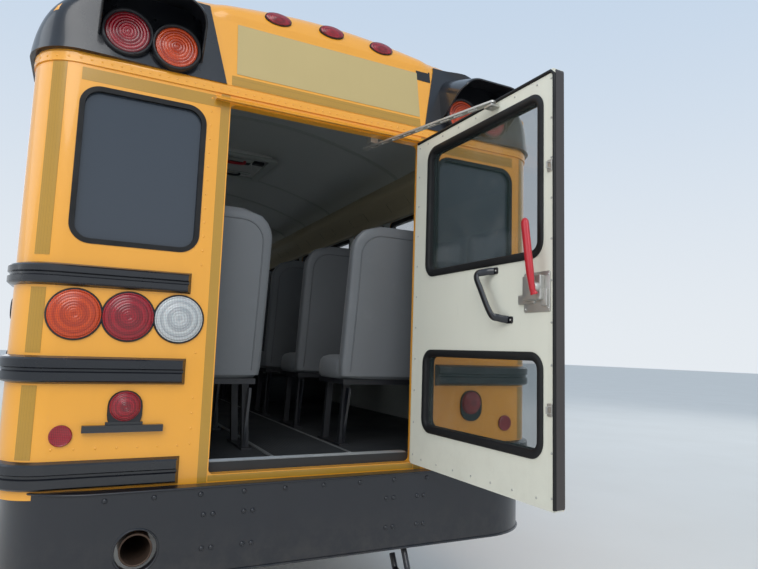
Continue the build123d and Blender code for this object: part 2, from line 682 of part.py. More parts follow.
hub = wheel_plane * Cylinder(48, 30)
put("dashboard", dash + column + wheel + spokes + hub)

# Chassis
def channel(side):
    a = RAIL_OUT_Y
    pts = [(a, RAIL_Z0), (a, RAIL_Z1), (a - RAIL_FLANGE, RAIL_Z1), (a - RAIL_FLANGE, RAIL_Z1 - RAIL_WEB),
           (a - RAIL_WEB, RAIL_Z1 - RAIL_WEB), (a - RAIL_WEB, RAIL_Z0 + RAIL_WEB),
           (a - RAIL_FLANGE, RAIL_Z0 + RAIL_WEB), (a - RAIL_FLANGE, RAIL_Z0)]
    one = poly_x(pts, CHASSIS_X0, CHASSIS_X1)
    return one if side > 0 else other_side(one)


ladder = channel(1) + channel(-1)
ladder = ladder - block(11060, 11300, -600, 600, 720, 900)
SHAFT_A = (3540.0, 0.0, AXLE_Z + 10)
SHAFT_B = (9060.0, 0.0, 740.0)
shaft_path = rod(SHAFT_A, SHAFT_B, 72)
MUFFLER_Y = 225.0
MUFFLER_Z = 700.0
pipe_path = disc_x(2000, 6500, MUFFLER_Y, MUFFLER_Z, 72)
for x in (140, 2580, 4300, 6500, 8100, 10990):
    w = RAIL_OUT_Y - RAIL_WEB
    member = block(x, x + 8, -w, w, RAIL_Z0 + RAIL_WEB + 2, RAIL_Z1 - RAIL_WEB - 2)
    member = member + block(x, x + 60, -w, w, RAIL_Z0 + RAIL_WEB + 2, RAIL_Z0 + RAIL_WEB + 10)
    member = member - shaft_path - pipe_path
    if x > 10900:
        member = member - block(x - 10, x + 80, -600, 600, 720, 900)
    ladder = ladder + member
for side in (1, -1):
    a = min(side * (RAIL_OUT_Y - 4), side * 480)
    b = max(side * (RAIL_OUT_Y - 4), side * 480)
    ladder = ladder + disc_y(a, b, HOOD_HINGE_X, HOOD_HINGE_Z, 12)
put("ladder_frame", ladder)
engine = plate_z(9900, 10800, -330, 330, 40, 700, 1270)
gearbox = disc_x(9060, 9910, 0, SHAFT_B[2], 130) + block(9700, 9910, -240, 240, 640, 860)
engine_feet = block(10300, 10380, -RAIL_OUT_Y + RAIL_WEB, RAIL_OUT_Y - RAIL_WEB, 760, 800)
put("engine_block", engine + gearbox + engine_feet)
shaft = rod(SHAFT_A, SHAFT_B, 50)
axle = disc_y(-1120, 1120, REAR_AXLE_X, AXLE_Z, 50) + disc_y(-600, 600, REAR_AXLE_X, AXLE_Z, 75)
bowl = Pos(REAR_AXLE_X, 0, AXLE_Z) * Sphere(205)
bowl = bowl & block(REAR_AXLE_X - 190, REAR_AXLE_X + 240, -200, 200, 300, 800)
nose = disc_x(REAR_AXLE_X + 100, 3560, 0, AXLE_Z + 10, 85)
put("rear_axle", axle + bowl + nose + shaft - block(9060, 9200, -200, 200, 500, 900))


def spring(x, y, half, seat_z, eye_z, top):
    crescent = make_face([ThreePointArc((x - half, eye_z), (x, seat_z), (x + half, eye_z)),
                          Line((x + half, eye_z), (x + half, eye_z + 18)),
                          ThreePointArc((x + half, eye_z + 18), (x, seat_z + 58), (x - half, eye_z + 18)),
                          Line((x - half, eye_z + 18), (x - half, eye_z))])
    leaf = Pos(0, y - 38, 0) * extrude(Plane.XZ * crescent, 76, dir=(0, 1, 0))
    for end in (-1, 1):
        leaf = leaf + block(x + end * half - 40, x + end * half + 40, y - 38, y + 38, eye_z, top)
    return leaf


rear_springs = []
for side in (1, -1):
    s = spring(REAR_AXLE_X, RAIL_OUT_Y + 38, 700, AXLE_Z + 74, 690, 780)
    s = s + block(REAR_AXLE_X - 70, REAR_AXLE_X + 70, RAIL_OUT_Y, RAIL_OUT_Y + 76, AXLE_Z + 60, AXLE_Z + 140)
    s = s - block(REAR_AXLE_X - 900, REAR_AXLE_X + 900, 300, RAIL_OUT_Y, 500, 900)
    s = s - disc_y(-600, 600, REAR_AXLE_X, AXLE_Z, 75)
    rear_springs.append(s if side > 0 else other_side(s))
springs = list(rear_springs)
for side in (1, -1):
    s = spring(FRONT_AXLE_X, 392, 560, 500, 560, RAIL_Z0)
    springs.append(s if side > 0 else other_side(s))
put("leaf_springs", *springs)
beam = poly_x([(-880, 440), (-880, 560), (-800, 560), (-640, 500), (640, 500), (800, 560), (880, 560), (880, 440),
               (800, 440), (640, 390), (-640, 390), (-800, 440)], FRONT_AXLE_X - 48, FRONT_AXLE_X + 48)
beam = beam - block(FRONT_AXLE_X - 60, FRONT_AXLE_X - 14, -620, 620, 408, 482)
beam = beam - block(FRONT_AXLE_X + 14, FRONT_AXLE_X + 60, -620, 620, 408, 482)
beam = beam - block(FRONT_AXLE_X - 60, FRONT_AXLE_X + 60, KINGPIN_Y - 60, 1000, 300, 700)
beam = beam - block(FRONT_AXLE_X - 60, FRONT_AXLE_X + 60, -1000, -KINGPIN_Y + 60, 300, 700)
for side in (1, -1):
    a = min(side * (KINGPIN_Y - 70), side * KINGPIN_Y)
    b = max(side * (KINGPIN_Y - 70), side * KINGPIN_Y)
    eye = disc_z(472, 528, FRONT_AXLE_X, side * KINGPIN_Y, LUG_R)
    eye = eye + block(FRONT_AXLE_X - 34, FRONT_AXLE_X + 34, a, b, 472, 528)
    eye = eye - disc_z(460, 540, FRONT_AXLE_X, side * KINGPIN_Y, KINGPIN_R + HINGE_CLEAR)
    beam = beam + eye
put("front_axle", beam)


def knuckle(side):
    k = disc_z(ARM_Z0, 471.7, FRONT_AXLE_X, KINGPIN_Y, LUG_R) + disc_z(528.3, 575, FRONT_AXLE_X, KINGPIN_Y, LUG_R)
    k = k + disc_z(ARM_Z0, 575, FRONT_AXLE_X, KINGPIN_Y, KINGPIN_R)
    for z0, z1 in ((ARM_Z0, 471.7), (528.3, 575)):
        k = k + block(FRONT_AXLE_X - LUG_R, FRONT_AXLE_X + LUG_R, KINGPIN_Y, KINGPIN_Y + 50, z0, z1)
    k = k + block(FRONT_AXLE_X - 45, FRONT_AXLE_X + 45, KINGPIN_Y + 44, KINGPIN_Y + 64, ARM_Z0, 575)
    k = k + disc_y(KINGPIN_Y + 44, FRONT_WHEEL_Y + 60, FRONT_AXLE_X, AXLE_Z, 34)
    arm = poly_z([(FRONT_AXLE_X + 20, KINGPIN_Y - 30), (FRONT_AXLE_X + 20, KINGPIN_Y + 30),
                  (FRONT_AXLE_X - ARM_BACK, KINGPIN_Y - ARM_IN + 24), (FRONT_AXLE_X - ARM_BACK - 24, KINGPIN_Y - ARM_IN),
                  (FRONT_AXLE_X - ARM_BACK, KINGPIN_Y - ARM_IN - 24)], ARM_Z0, ARM_Z1)
    k = k + arm
    return k if side > 0 else other_side(k)


put("knuckle_left", knuckle(1))
put("knuckle_right", knuckle(-1))
TIE_Y = KINGPIN_Y - ARM_IN
TIE_Z = ARM_Z0 - 30
tie = disc_y(-TIE_Y, TIE_Y, FRONT_AXLE_X - ARM_BACK, TIE_Z, 18)
for side in (1, -1):
    tie = tie + disc_z(TIE_Z - 24, ARM_Z0 - 0.3, FRONT_AXLE_X - ARM_BACK, side * TIE_Y, 26)
put("tie_rod", tie)


def tyre(y):
    w = TYRE_W / 2
    pts = [(RIM_R, -w + 22), (RIM_R + 60, -w + 4), (TYRE_R - 120, -w), (TYRE_R - 30, -w + 22), (TYRE_R - 4, -w + 48),
           (TYRE_R, 0), (TYRE_R - 4, w - 48), (TYRE_R - 30, w - 22), (TYRE_R - 120, w), (RIM_R + 60, w - 4),
           (RIM_R, w - 22)]
    face = Plane.XY * make_face(Polyline(*pts, close=True))
    ring = revolve(face, axis=Axis.Y)
    return Pos(0, y, 0) * ring


def rim(y, dish, bore, edge):
    w = TYRE_W / 2
    barrel = [(RIM_R, -w + 22), (RIM_R, w - 22), (RIM_R - 12, w - 22), (RIM_R - 24, w - 60), (RIM_R - 24, -w + 60),
              (RIM_R - 12, -w + 22)]
    ring = revolve(Plane.XY * make_face(Polyline(*barrel, close=True)), axis=Axis.Y)
    disc = [(RIM_R - 8, edge), (RIM_R - 8, edge + 12), (150, dish + 30), (150, dish + 18)]
    plate = revolve(Plane.XY * make_face(Polyline(*disc, close=True)), axis=Axis.Y)
    hub = [(150, dish + 30), (150, dish + 14), (bore, dish + 14), (bore, dish + 30)]
    centre = revolve(Plane.XY * make_face(Polyline(*hub, close=True)), axis=Axis.Y)
    body = ring + plate + centre
    for k in range(8):
        a = math.radians(45 * k)
        body = body - disc_y(dish - 20, dish + 60, 205 * math.cos(a), 205 * math.sin(a), 26)
    return Pos(0, y, 0) * body


def at_wheel(shape, x):
    return Pos(x, 0, AXLE_Z) * shape


SPINDLE = 34.0 + HUB_CLEAR
AXLE_STUB = 50.0 + HUB_CLEAR
END_CLEAR = 0.3
front_tyre = at_wheel(tyre(FRONT_WHEEL_Y), FRONT_AXLE_X)
front_rim = rim(FRONT_WHEEL_Y, 20, SPINDLE, 12)
front_rim = front_rim + (disc_y(FRONT_WHEEL_Y - 36, FRONT_WHEEL_Y + 90, 0, 0, 110)
                         - disc_y(FRONT_WHEEL_Y - 60, FRONT_WHEEL_Y + 66, 0, 0, SPINDLE))
front_rim = at_wheel(front_rim, FRONT_AXLE_X)
put("front_tyre_left", front_tyre)
put("front_rim_left", front_rim)
put("front_tyre_right", other_side(front_tyre))
put("front_rim_right", other_side(front_rim))
outer_y = TWIN_OUTER_Y - TYRE_W / 2
inner_y = outer_y - TYRE_W - TWIN_GAP
rear_tyres = [at_wheel(tyre(outer_y), REAR_AXLE_X), at_wheel(tyre(inner_y), REAR_AXLE_X)]
twin_mid = (outer_y + inner_y) / 2
rim_o = rim(outer_y, -150, AXLE_STUB, -104)
rim_o = at_wheel(rim_o, REAR_AXLE_X)
rim_i = at_wheel(mirror(rim(-inner_y, -150, AXLE_STUB, -104), about=Plane.XZ), REAR_AXLE_X)
hub = at_wheel(disc_y(twin_mid - 115, twin_mid + 240, 0, 0, 130) - disc_y(twin_mid - 120, 1125, 0, 0, AXLE_STUB),
               REAR_AXLE_X)
drum = at_wheel(disc_y(inner_y - 120, twin_mid - 90, 0, 0, 205) - disc_y(inner_y - 130, twin_mid - 108, 0, 0, 190)
                - disc_y(inner_y - 130, twin_mid, 0, 0, AXLE_STUB), REAR_AXLE_X)
rear_rims = rim_o + rim_i + hub + drum
put("rear_tyres_left", *rear_tyres)
put("rear_rims_left", rear_rims)
put("rear_tyres_right", *[other_side(s) for s in rear_tyres])
put("rear_rims_right", other_side(rear_rims))

# Tanks, exhaust and mud flaps
tank = plate_x(-1120, -480, 420, 840, 60, 5200, 6700)
for x in (5500, 6330):
    tank = tank + block(x, x + 60, -1120, -RAIL_OUT_Y, 700, 740)
battery = block(6900, 7700, 520, 1160, 500, 840)
for x in (6960, 7580):
    battery = battery + block(x, x + 60, RAIL_OUT_Y, 1160, 700, 740)
put("underfloor_tanks", tank, battery)
muffler = disc_x(5300, 6300, MUFFLER_Y, MUFFLER_Z, 118)
pipe = bent_tube([(5300, MUFFLER_Y, MUFFLER_Z), (2500, MUFFLER_Y, MUFFLER_Z), (2150, MUFFLER_Y, 540),
                  (1850, TAILPIPE_Y, 540), (1300, TAILPIPE_Y, TAILPIPE_Z), (-62, TAILPIPE_Y, TAILPIPE_Z)],
                 TAILPIPE_R, 120)
bore = disc_x(-80, 300, TAILPIPE_Y, TAILPIPE_Z, TAILPIPE_R - 4)
hangers = block(5500, 5530, MUFFLER_Y - 20, MUFFLER_Y + 20, MUFFLER_Z, SILL_Z1)
hangers = hangers + block(6050, 6080, MUFFLER_Y - 20, MUFFLER_Y + 20, MUFFLER_Z, SILL_Z1)
hangers = hangers + block(600, 630, TAILPIPE_Y - 20, TAILPIPE_Y + 20, TAILPIPE_Z + TAILPIPE_R - 6, SILL_Z1)
put("exhaust", muffler + pipe + hangers - bore)
flap = block(2590, 2600, 600, 1165, 230, FLOOR_TOP - FLOOR_T)
body_trim.extend([flap, other_side(flap)])

# Rear bumper with bore for the tailpipe
def bumper_plan(d):
    h = BUMPER_HALF - d
    p = -BUMPER_PROUD + d
    r = BUMPER_R - d
    ra = r * (1 - math.sqrt(0.5))
    e = BUMPER_END_X
    lines = [
        Line((e, -h), (p + r, -h)),
        ThreePointArc((p + r, -h), (p + ra, -h + ra), (p, -h + r)),
        Line((p, -h + r), (p, h - r)),
        ThreePointArc((p, h - r), (p + ra, h - ra), (p + r, h)),
        Line((p + r, h), (e, h)),
        Line((e, h), (e, -h)),
    ]
    return make_face(lines)


bump_out = Pos(0, 0, BUMPER_Z0) * extrude(bumper_plan(0), BUMPER_Z1 - BUMPER_Z0, dir=(0, 0, 1))
bump_in = Pos(0, 0, BUMPER_Z0 + 8) * extrude(bumper_plan(BUMPER_T), BUMPER_Z1 - BUMPER_Z0 - 16, dir=(0, 0, 1))
bump_in = bump_in + block(BUMPER_END_X - 10, BUMPER_END_X + 20, -BUMPER_HALF + 8, BUMPER_HALF - 8,
                          BUMPER_Z0 + 8, BUMPER_Z1 - 8)
bump_flange = Pos(0, 0, BUMPER_Z0 - 1) * extrude(bumper_plan(60), BUMPER_Z1 - BUMPER_Z0 + 2, dir=(0, 0, 1))
bump_flange = bump_flange + block(BUMPER_END_X - 10, BUMPER_END_X + 20, -BUMPER_HALF + 60, BUMPER_HALF - 60,
                                  BUMPER_Z0 - 1, BUMPER_Z1 + 1)
bumper = bump_out - bump_in - bump_flange
bumper = bumper - disc_x(-120, 60, TAILPIPE_Y, TAILPIPE_Z, TAILPIPE_HOLE_R)
bumper = bumper - (BODY_OUT & block(-10, 400, -1400, 1400, REAR_SKIRT_Z, 1000))
for side in (1, -1):
    y = side * 392
    bumper = bumper + block(-BUMPER_PROUD + 4, CHASSIS_X0, y - 38, y + 38, 640, 840)
for side in (1, -1):
    y = side * 430
    hook = bent_tube([(0, y, BUMPER_Z0 + 4), (-60, y, 470), (-20, y, 425), (60, y, 440), (95, y, 500)], 14, 20)
    hook = hook + block(-40, 50, y - 30, y + 30, BUMPER_Z0 - 10, BUMPER_Z0 + 2)
    bumper = bumper + hook
put("rear_bumper", bumper)

# Front bumper
fb = [(11210, -1150), (11210, 1150), (11235, 1160), (11280, 1000), (11300, 800), (11300, -800), (11280, -1000),
      (11235, -1160)]
front_bumper = poly_z(fb, FRONT_BUMPER_Z0, FRONT_BUMPER_Z1)
fb_in = [(11200, -1100), (11200, 1100), (11225, 1100), (11270, 990), (11290, 795), (11290, -795), (11270, -990),
         (11225, -1100)]
front_bumper = front_bumper - poly_z(fb_in, FRONT_BUMPER_Z0 + 10, FRONT_BUMPER_Z1 - 10)
for side in (1, -1):
    y = side * 392
    front_bumper = front_bumper + block(CHASSIS_X1 - 60, 11292, y - 38, y + 38, RAIL_Z0 - 120, RAIL_Z0)
put("front_bumper", front_bumper)

# Hood with fenders
def hood_core(d):
    sections = []
    for x, half, top, r in ((HOOD_X0, 1010, 1530, 230), (10400, 930, 1460, 220), (10900, 850, 1370, 200),
                            (HOOD_X1, 760, 1215, 160)):
        h = half - d
        z = top - d
        w = make_face(Polyline((-h, 760), (h, 760), (h, z), (-h, z), close=True))
        corners = w.vertices().sort_by(Axis.Y)[-2:]
        w = fillet(corners, r - d)
        px = x
        if d and x == HOOD_X1:
            px = x - d
        sections.append(Pos(px, 0, 0) * (Plane.YZ * w))
    return loft(sections, ruled=True)


def fender(d):
    z0 = 700
    pts = [(HOOD_X0, z0), (HOOD_X0, 1160 - d), (9900, 1215 - d), (10750, 1215 - d), (11000, 1120 - d),
           (HOOD_X1 - d, 960), (HOOD_X1 - d, z0)]
    return poly_y(pts, 600, FENDER_HALF - d)


outer = hood_core(0) + fender(0) + other_side(fender(0))
inner = hood_core(HOOD_T) + fender(HOOD_T) + other_side(fender(HOOD_T))
inner = inner + block(HOOD_X0 - 5, HOOD_X1 - HOOD_T, -700, 700, 700, 900)
inner = inner + block(HOOD_X0 - 5, HOOD_X0 + 30, -980, 980, 750, 1200)
hood = outer - inner
for side in (1, -1):
    a = min(side * 560, side * 1300)
    b = max(side * 560, side * 1300)
    hood = hood - disc_y(a, b, FRONT_AXLE_X, AXLE_Z, ARCH_R)
hood = hood - block(HOOD_X0 - 20, HOOD_X1 + 20, -1300, 1300, 600, 700)
hood = hood - block(HOOD_X1 - 300, HOOD_X1 + 20, -740, 740, 700, 888)
hood = hood - plate_x(-430, 430, 912, 1150, 30, HOOD_X1 - 60, HOOD_X1 + 20)
for side in (1, -1):
    a = min(side * 820, side * 1120)
    b = max(side * 820, side * 1120)
    hood = hood - plate_x(a, b, 800, 930, 20, HOOD_X1 - 60, HOOD_X1 + 20)
for side in (1, -1):
    y = side * 460
    arm = block(HOOD_HINGE_X - 22, HOOD_HINGE_X + 22, y - 8, y + 8, 615, 915)
    arm = arm + block(HOOD_HINGE_X - 22, HOOD_X1 - 4, y - 8, y + 8, 892, 915)
    arm = arm - disc_y(y - 20, y + 20, HOOD_HINGE_X, HOOD_HINGE_Z, 12.0 + HINGE_CLEAR)
    hood = hood + arm
put("hood", hood)
grille = plate_x(-430, 430, 912, 1150, 30, HOOD_X1 - 11, HOOD_X1 - 2)
for k in range(4):
    z = 938 + k * 50
    grille = grille - block(HOOD_X1 - 40, HOOD_X1 + 20, -400, 400, z, z + 30)
put("grille", grille)
lamps = []
for side in (1, -1):
    a = min(side * 820, side * 1120)
    b = max(side * 820, side * 1120)
    lamps.append(plate_x(a, b, 800, 930, 20, HOOD_X1 - 40, HOOD_X1 + 4))
put("headlamps", *lamps)

# Mirrors at the pillars, and wipers
mirrors = []
for side in (1, -1):
    a = min(side * 1275, side * 1450)
    b = max(side * 1275, side * 1450)
    head = plate_x(a, b, 1700, 2120, 40, 9700, 9760)
    arm = rod((9640, side * 1170, 2150), (9730, side * 1362, 2150), 14)
    arm = arm + rod((9640, side * 1170, 1660), (9730, side * 1362, 1660), 14)
    arm = arm + rod((9730, side * 1362, 1650), (9730, side * 1362, 2160), 12)
    arm = arm - BODY_OUT
    mirrors.append(head + arm)
put("mirrors", *mirrors)
hood_mirrors = []
for side in (1, -1):
    head = Pos(11120, side * 1090, 1500) * Sphere(120)
    head = head & block(11075, 11300, -1400, 1400, 1300, 1700)
    arm = rod((11085, side * 1090, 1500), (10960, side * 1060, 1110), 12)
    hood_mirrors.append((head + arm) - outer)
put("hood_mirrors", *hood_mirrors)

# Rear door, built closed and then swung open
def swing(shape, degrees):
    turned = Pos(-HINGE_X, -HINGE_Y, 0) * shape
    turned = Rot(0, 0, degrees) * turned
    return Pos(HINGE_X, HINGE_Y, 0) * turned


leaf_x0 = LEAF_X0
leaf_x1 = LEAF_X0 + LEAF_T
y_start = -OPEN_HALF + LEAF_GAP
y_end = OPEN_HALF - LEAF_GAP
leaf = plate_x(y_start, y_end, LEAF_Z0, LEAF_Z1, 18, leaf_x0, leaf_x1)
door_glass = []
door_seals = []
for s0, s1, z0, z1 in LEAF_WINDOWS:
    a = HINGE_Y + s0
    b = HINGE_Y + s1
    leaf = leaf - plate_x(a, b, z0, z1, LEAF_WINDOW_R, leaf_x0 - 10, leaf_x1 + 10)
    g = GASKET_W
    ring = plate_x(a, b, z0, z1, LEAF_WINDOW_R, leaf_x0 - 3, leaf_x1 + 3)
    ring = ring - plate_x(a + g, b - g, z0 + g, z1 - g, LEAF_WINDOW_R - g, leaf_x0 - 20, leaf_x1 + 20)
    door_seals.append(swing(ring, REAR_DOOR_OPEN))
    pane = plate_x(a + g, b - g, z0 + g, z1 - g, LEAF_WINDOW_R - g, leaf_x0 + 16, leaf_x0 + 22)
    door_glass.append(swing(pane, REAR_DOOR_OPEN))
HINGES_Z = (1045.0, 2405.0)
hinge_bases = []
for z in HINGES_Z:
    strap = disc_z(z + 1, z + 46, HINGE_X, HINGE_Y, HINGE_R)
    strap = strap + block(HINGE_X - 2, leaf_x0, HINGE_Y, HINGE_Y + 70, z + 1, z + 46)
    strap = strap - disc_z(z - 10, z + 60, HINGE_X, HINGE_Y, HINGE_PIN_R + HINGE_CLEAR)
    leaf = leaf + strap
    base = disc_z(z - 46, z, HINGE_X, HINGE_Y, HINGE_R)
    base = base + block(HINGE_X - 2, 0, HINGE_Y - 42, HINGE_Y, z - 46, z)
    base = base + disc_z(z - 46, z + 44, HINGE_X, HINGE_Y, HINGE_PIN_R)
    hinge_bases.append(base)
put("rear_door_panel", swing(leaf, REAR_DOOR_OPEN))
put("rear_door_gaskets", *door_seals)
put("rear_door_glass", *door_glass)
latch = block(leaf_x1, leaf_x1 + 26, HINGE_Y + 798, HINGE_Y + 928, 1605, 1747)
lever = rod((leaf_x1 + 20, HINGE_Y + 834, 1690), (leaf_x1 + 66, HINGE_Y + 826, 1700), 10)
lever = lever + rod((leaf_x1 + 60, HINGE_Y + 832, 1668), (leaf_x1 + 60, HINGE_Y + 803, 1932), 13)
pull = bent_tube([(leaf_x1 - 2, HINGE_Y + 615, 1773), (leaf_x1 + 62, HINGE_Y + 560, 1768),
                  (leaf_x1 + 62, HINGE_Y + 640, 1600), (leaf_x1 - 2, HINGE_Y + 712, 1582)], 11, 24)
pull = pull - block(leaf_x0, leaf_x1, HINGE_Y, HINGE_Y + 900, 1400, 1900)
outer_handle = block(leaf_x0 - 40, leaf_x0, HINGE_Y + 850, HINGE_Y + 880, 1655, 1695)
outer_handle = outer_handle + block(leaf_x0 - 52, leaf_x0 - 30, HINGE_Y + 760, HINGE_Y + 890, 1664, 1686)
ARM_S = 622.0
ARM_OUT = 78.0
ARM_Z = 2456.0
ARM_LEN = 800.0
GUIDE = (75.0, -240.0)
pivot_x = HINGE_X + ARM_OUT
pivot_y = HINGE_Y + ARM_S
bracket = block(leaf_x1, pivot_x + 16, pivot_y - 22, pivot_y + 22, ARM_Z - 22, ARM_Z - 12)
bracket = bracket + disc_z(ARM_Z - 22, ARM_Z + 6, pivot_x, pivot_y, 6)
put("rear_door_fittings", *[swing(s, REAR_DOOR_OPEN) for s in (latch + lever, pull, outer_handle, bracket)])

# Hold-open arm, a slotted flat bar from the leaf to its guide behind the header
def turned(x, y, degrees):
    a = math.radians(degrees)
    return (HINGE_X + x * math.cos(a) - y * math.sin(a), HINGE_Y + x * math.sin(a) + y * math.cos(a))


arm_root = turned(ARM_OUT, ARM_S, REAR_DOOR_OPEN)
arm_angle = math.degrees(math.atan2(GUIDE[1] - arm_root[1], GUIDE[0] - arm_root[0]))
hold = plate_z(-20, ARM_LEN, -14, 14, 13, -4, 4)
hold = hold - disc_z(-10, 10, 0, 0, 6.0 + HINGE_CLEAR)
for k in range(9):
    a = 70 + 78 * k
    hold = hold - plate_z(a, a + 52, -5, 5, 4.9, -10, 10)
put("hold_open_arm", Pos(arm_root[0], arm_root[1], ARM_Z) * Rot(0, 0, arm_angle) * hold)
guide = block(WALL, GUIDE[0] + 18, GUIDE[1] - 20, GUIDE[1] + 20, ARM_Z + 12, OPEN_Z1 + 39)
hinge_bases.append(guide)

# Stop arms folded against the left side
for name, x in STOP_ARMS:
    y = BODY_HALF + RAIL_PROUD
    axis_x = x + STOP_HALF + 20
    axis_y = y + 26
    base = block(axis_x + 17, axis_x + 90, BODY_HALF, y + 34, STOP_Z - 74, STOP_Z + 74)
    for z in (STOP_Z - 60, STOP_Z + 40):
        base = base + block(axis_x, axis_x + 20, axis_y - 9, axis_y + 9, z, z + 20) + disc_z(z, z + 20, axis_x, axis_y, 9)
    base = base + disc_z(STOP_Z - 60, STOP_Z + 60, axis_x, axis_y, 5)
    hinge_bases.append(base)
    pts = []
    for k in range(8):
        a = math.radians(22.5 + 45 * k)
        rr = STOP_HALF / math.cos(math.radians(22.5))
        pts.append((x + rr * math.cos(a), STOP_Z + rr * math.sin(a)))
    sign = poly_y(pts, y + 22, y + 30)
    tube = disc_z(STOP_Z - 39.5, STOP_Z + 39.5, axis_x, axis_y, 11) + block(x + STOP_HALF - 40, axis_x, y + 22, y + 30, STOP_Z - 39.5, STOP_Z + 39.5)
    sign = sign + tube - disc_z(STOP_Z - 60, STOP_Z + 60, axis_x, axis_y, 5 + HINGE_CLEAR)
    for z in (STOP_Z - 130, STOP_Z + 130):
        sign = sign + disc_y(y + 30, y + 52, x, z, 50)
        sign = sign + disc_y(y + 10, y + 22, x, z, 50)
    put(name, sign)
put("body_trim", *body_trim)

# Entry door leaves
leafs = []
gap = ENTRY_GAP
mid = (ENTRY_X0 + ENTRY_X1) / 2
for name, x0, x1, way in (("entry_leaf_rear", ENTRY_X0 + gap, mid - 5, -1),
                          ("entry_leaf_front", mid + 5, ENTRY_X1 - gap, 1)):
    y0 = -BODY_HALF - ENTRY_AXIS_OUT
    y1 = y0 + ENTRY_T
    leaf = block(x0, x1, y0, y1, ENTRY_Z0, ENTRY_Z1 - gap)
    glass = []
    for z0, z1 in ((560, 1180), (1260, 2330)):
        cut = plate_y(x0 + 50, x1 - 50, z0, z1, 35, y0 - 5, y1 + 5)
        leaf = leaf - cut
        glass.append(plate_y(x0 + 50, x1 - 50, z0, z1, 35, y0 + 12, y0 + 18))
    axis_x = x1 if way > 0 else x0
    arm_x0 = min(axis_x, axis_x + way * 46)
    arm_x1 = max(axis_x, axis_x + way * 46)
    for z in ENTRY_HINGES_Z:
        leaf = leaf + disc_z(z - 18, z + 18, axis_x, y0, ENTRY_BARREL_R)
        lugs = []
        for z0, z1 in ((z - 32, z - 18.5), (z + 18.5, z + 32)):
            leaf = leaf - disc_z(z0 - 5, z1 + 5 if z1 > z else z1 + 0.5, axis_x, y0, ENTRY_BARREL_R + 5) \
                if z1 < z else leaf - disc_z(z0 - 0.5, z1 + 5, axis_x, y0, ENTRY_BARREL_R + 5)
            lug = disc_z(z0, z1, axis_x, y0, ENTRY_BARREL_R)
            lug = lug + block(arm_x0, arm_x1, y0 - ENTRY_BARREL_R, -BODY_HALF - 1, z0, z1)
            lugs.append(lug + block(axis_x + way * 7 if way > 0 else arm_x0, arm_x1 if way > 0 else axis_x - 7,
                                    -BODY_HALF - 2, -BODY_HALF, z0, z1))
        leaf = leaf - disc_z(z - 19, z + 19, axis_x, y0, ENTRY_PIN_R + HINGE_CLEAR)
        hinge_bases.append(lugs[0] + lugs[1] + disc_z(z - 30, z + 30, axis_x, y0, ENTRY_PIN_R))
    put(name, leaf)
    put(name + "_glass", *glass)
put("hinge_bases", *hinge_bases)

os.makedirs("parts", exist_ok=True)
for name, shape in PARTS.items():
    export_step(shape, "parts/" + name + ".step")
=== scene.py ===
"""School bus with a long nose and its rear door swung open: finishes, seats, lamps, tyres and trim."""

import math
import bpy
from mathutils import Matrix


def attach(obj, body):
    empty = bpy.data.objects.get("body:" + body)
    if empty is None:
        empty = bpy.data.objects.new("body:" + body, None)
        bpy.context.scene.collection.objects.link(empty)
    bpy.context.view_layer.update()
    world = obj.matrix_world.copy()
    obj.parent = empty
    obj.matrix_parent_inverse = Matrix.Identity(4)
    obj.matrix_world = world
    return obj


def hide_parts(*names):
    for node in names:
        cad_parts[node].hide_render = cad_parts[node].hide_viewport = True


bl_info = {
    "name": "School bus",
    "version": (1, 0, 0),
    "blender": (4, 5, 0),
    "location": "View3D > Sidebar > School bus",
    "description": "Dresses the frame of a school bus with paint, seats, lamps, tyres and trim",
    "category": "Object",
}

import bmesh
import bpy
import numpy as np
from mathutils import Matrix, Vector

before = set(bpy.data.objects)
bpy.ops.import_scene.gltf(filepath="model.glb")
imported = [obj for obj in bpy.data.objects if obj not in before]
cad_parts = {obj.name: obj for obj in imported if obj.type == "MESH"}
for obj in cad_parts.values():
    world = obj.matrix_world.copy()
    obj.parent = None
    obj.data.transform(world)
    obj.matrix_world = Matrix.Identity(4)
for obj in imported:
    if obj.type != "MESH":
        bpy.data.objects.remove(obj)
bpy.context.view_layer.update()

# Stations run forward from the rear wall's outer face, in metres. The row frame's origin is at 5.18.
STATION = -5.18
HALF = 1.22
WALL = 0.045
CORNER = 0.165
CROWN_R, CROWN_C = 2.76, 0.29
EDGE_R = 0.3
EDGE_Y = HALF - EDGE_R
EDGE_Z = CROWN_C + math.sqrt((CROWN_R - EDGE_R) ** 2 - EDGE_Y ** 2)
EDGE_TURN = math.atan2(EDGE_Z - CROWN_C, EDGE_Y)
EAVE = 2.80
CAP_Z, LEAN = 2.56, 0.17831
FRONT_X = 9.655
FLOOR = 0.975
SEAT_TRAY = 1.305
BAY = 0.711
WINDOWS = [0.345 + BAY * k for k in range(12)]
RAIL_BANDS = [(1.657, 1.742), (1.293, 1.396), (0.910, 1.014)]
REAR_AXLE = 3.35
FRONT_AXLE = 10.36
DOOR_HINGE = (-0.019, -0.487)
DOOR_ANGLE = math.radians(91.5)
WHEEL_Z = 0.52
HATCHES = (2.39, 6.657)
STOP_ARMS = {"stop_arm_rear": 1.010, "stop_arm_front": 8.500}
SEAT_ROWS, SEAT_PITCH = 12, 0.702
TAPE_LIFT, TAPE_THICK = 0.0009, 0.0006
RIVET = (0.0048, 0.0022)


# Surfaces
def points(x, y, z):
    """Coordinates that broadcast together, as points."""
    return np.stack(np.broadcast_arrays(x, y, z), -1).astype(float)


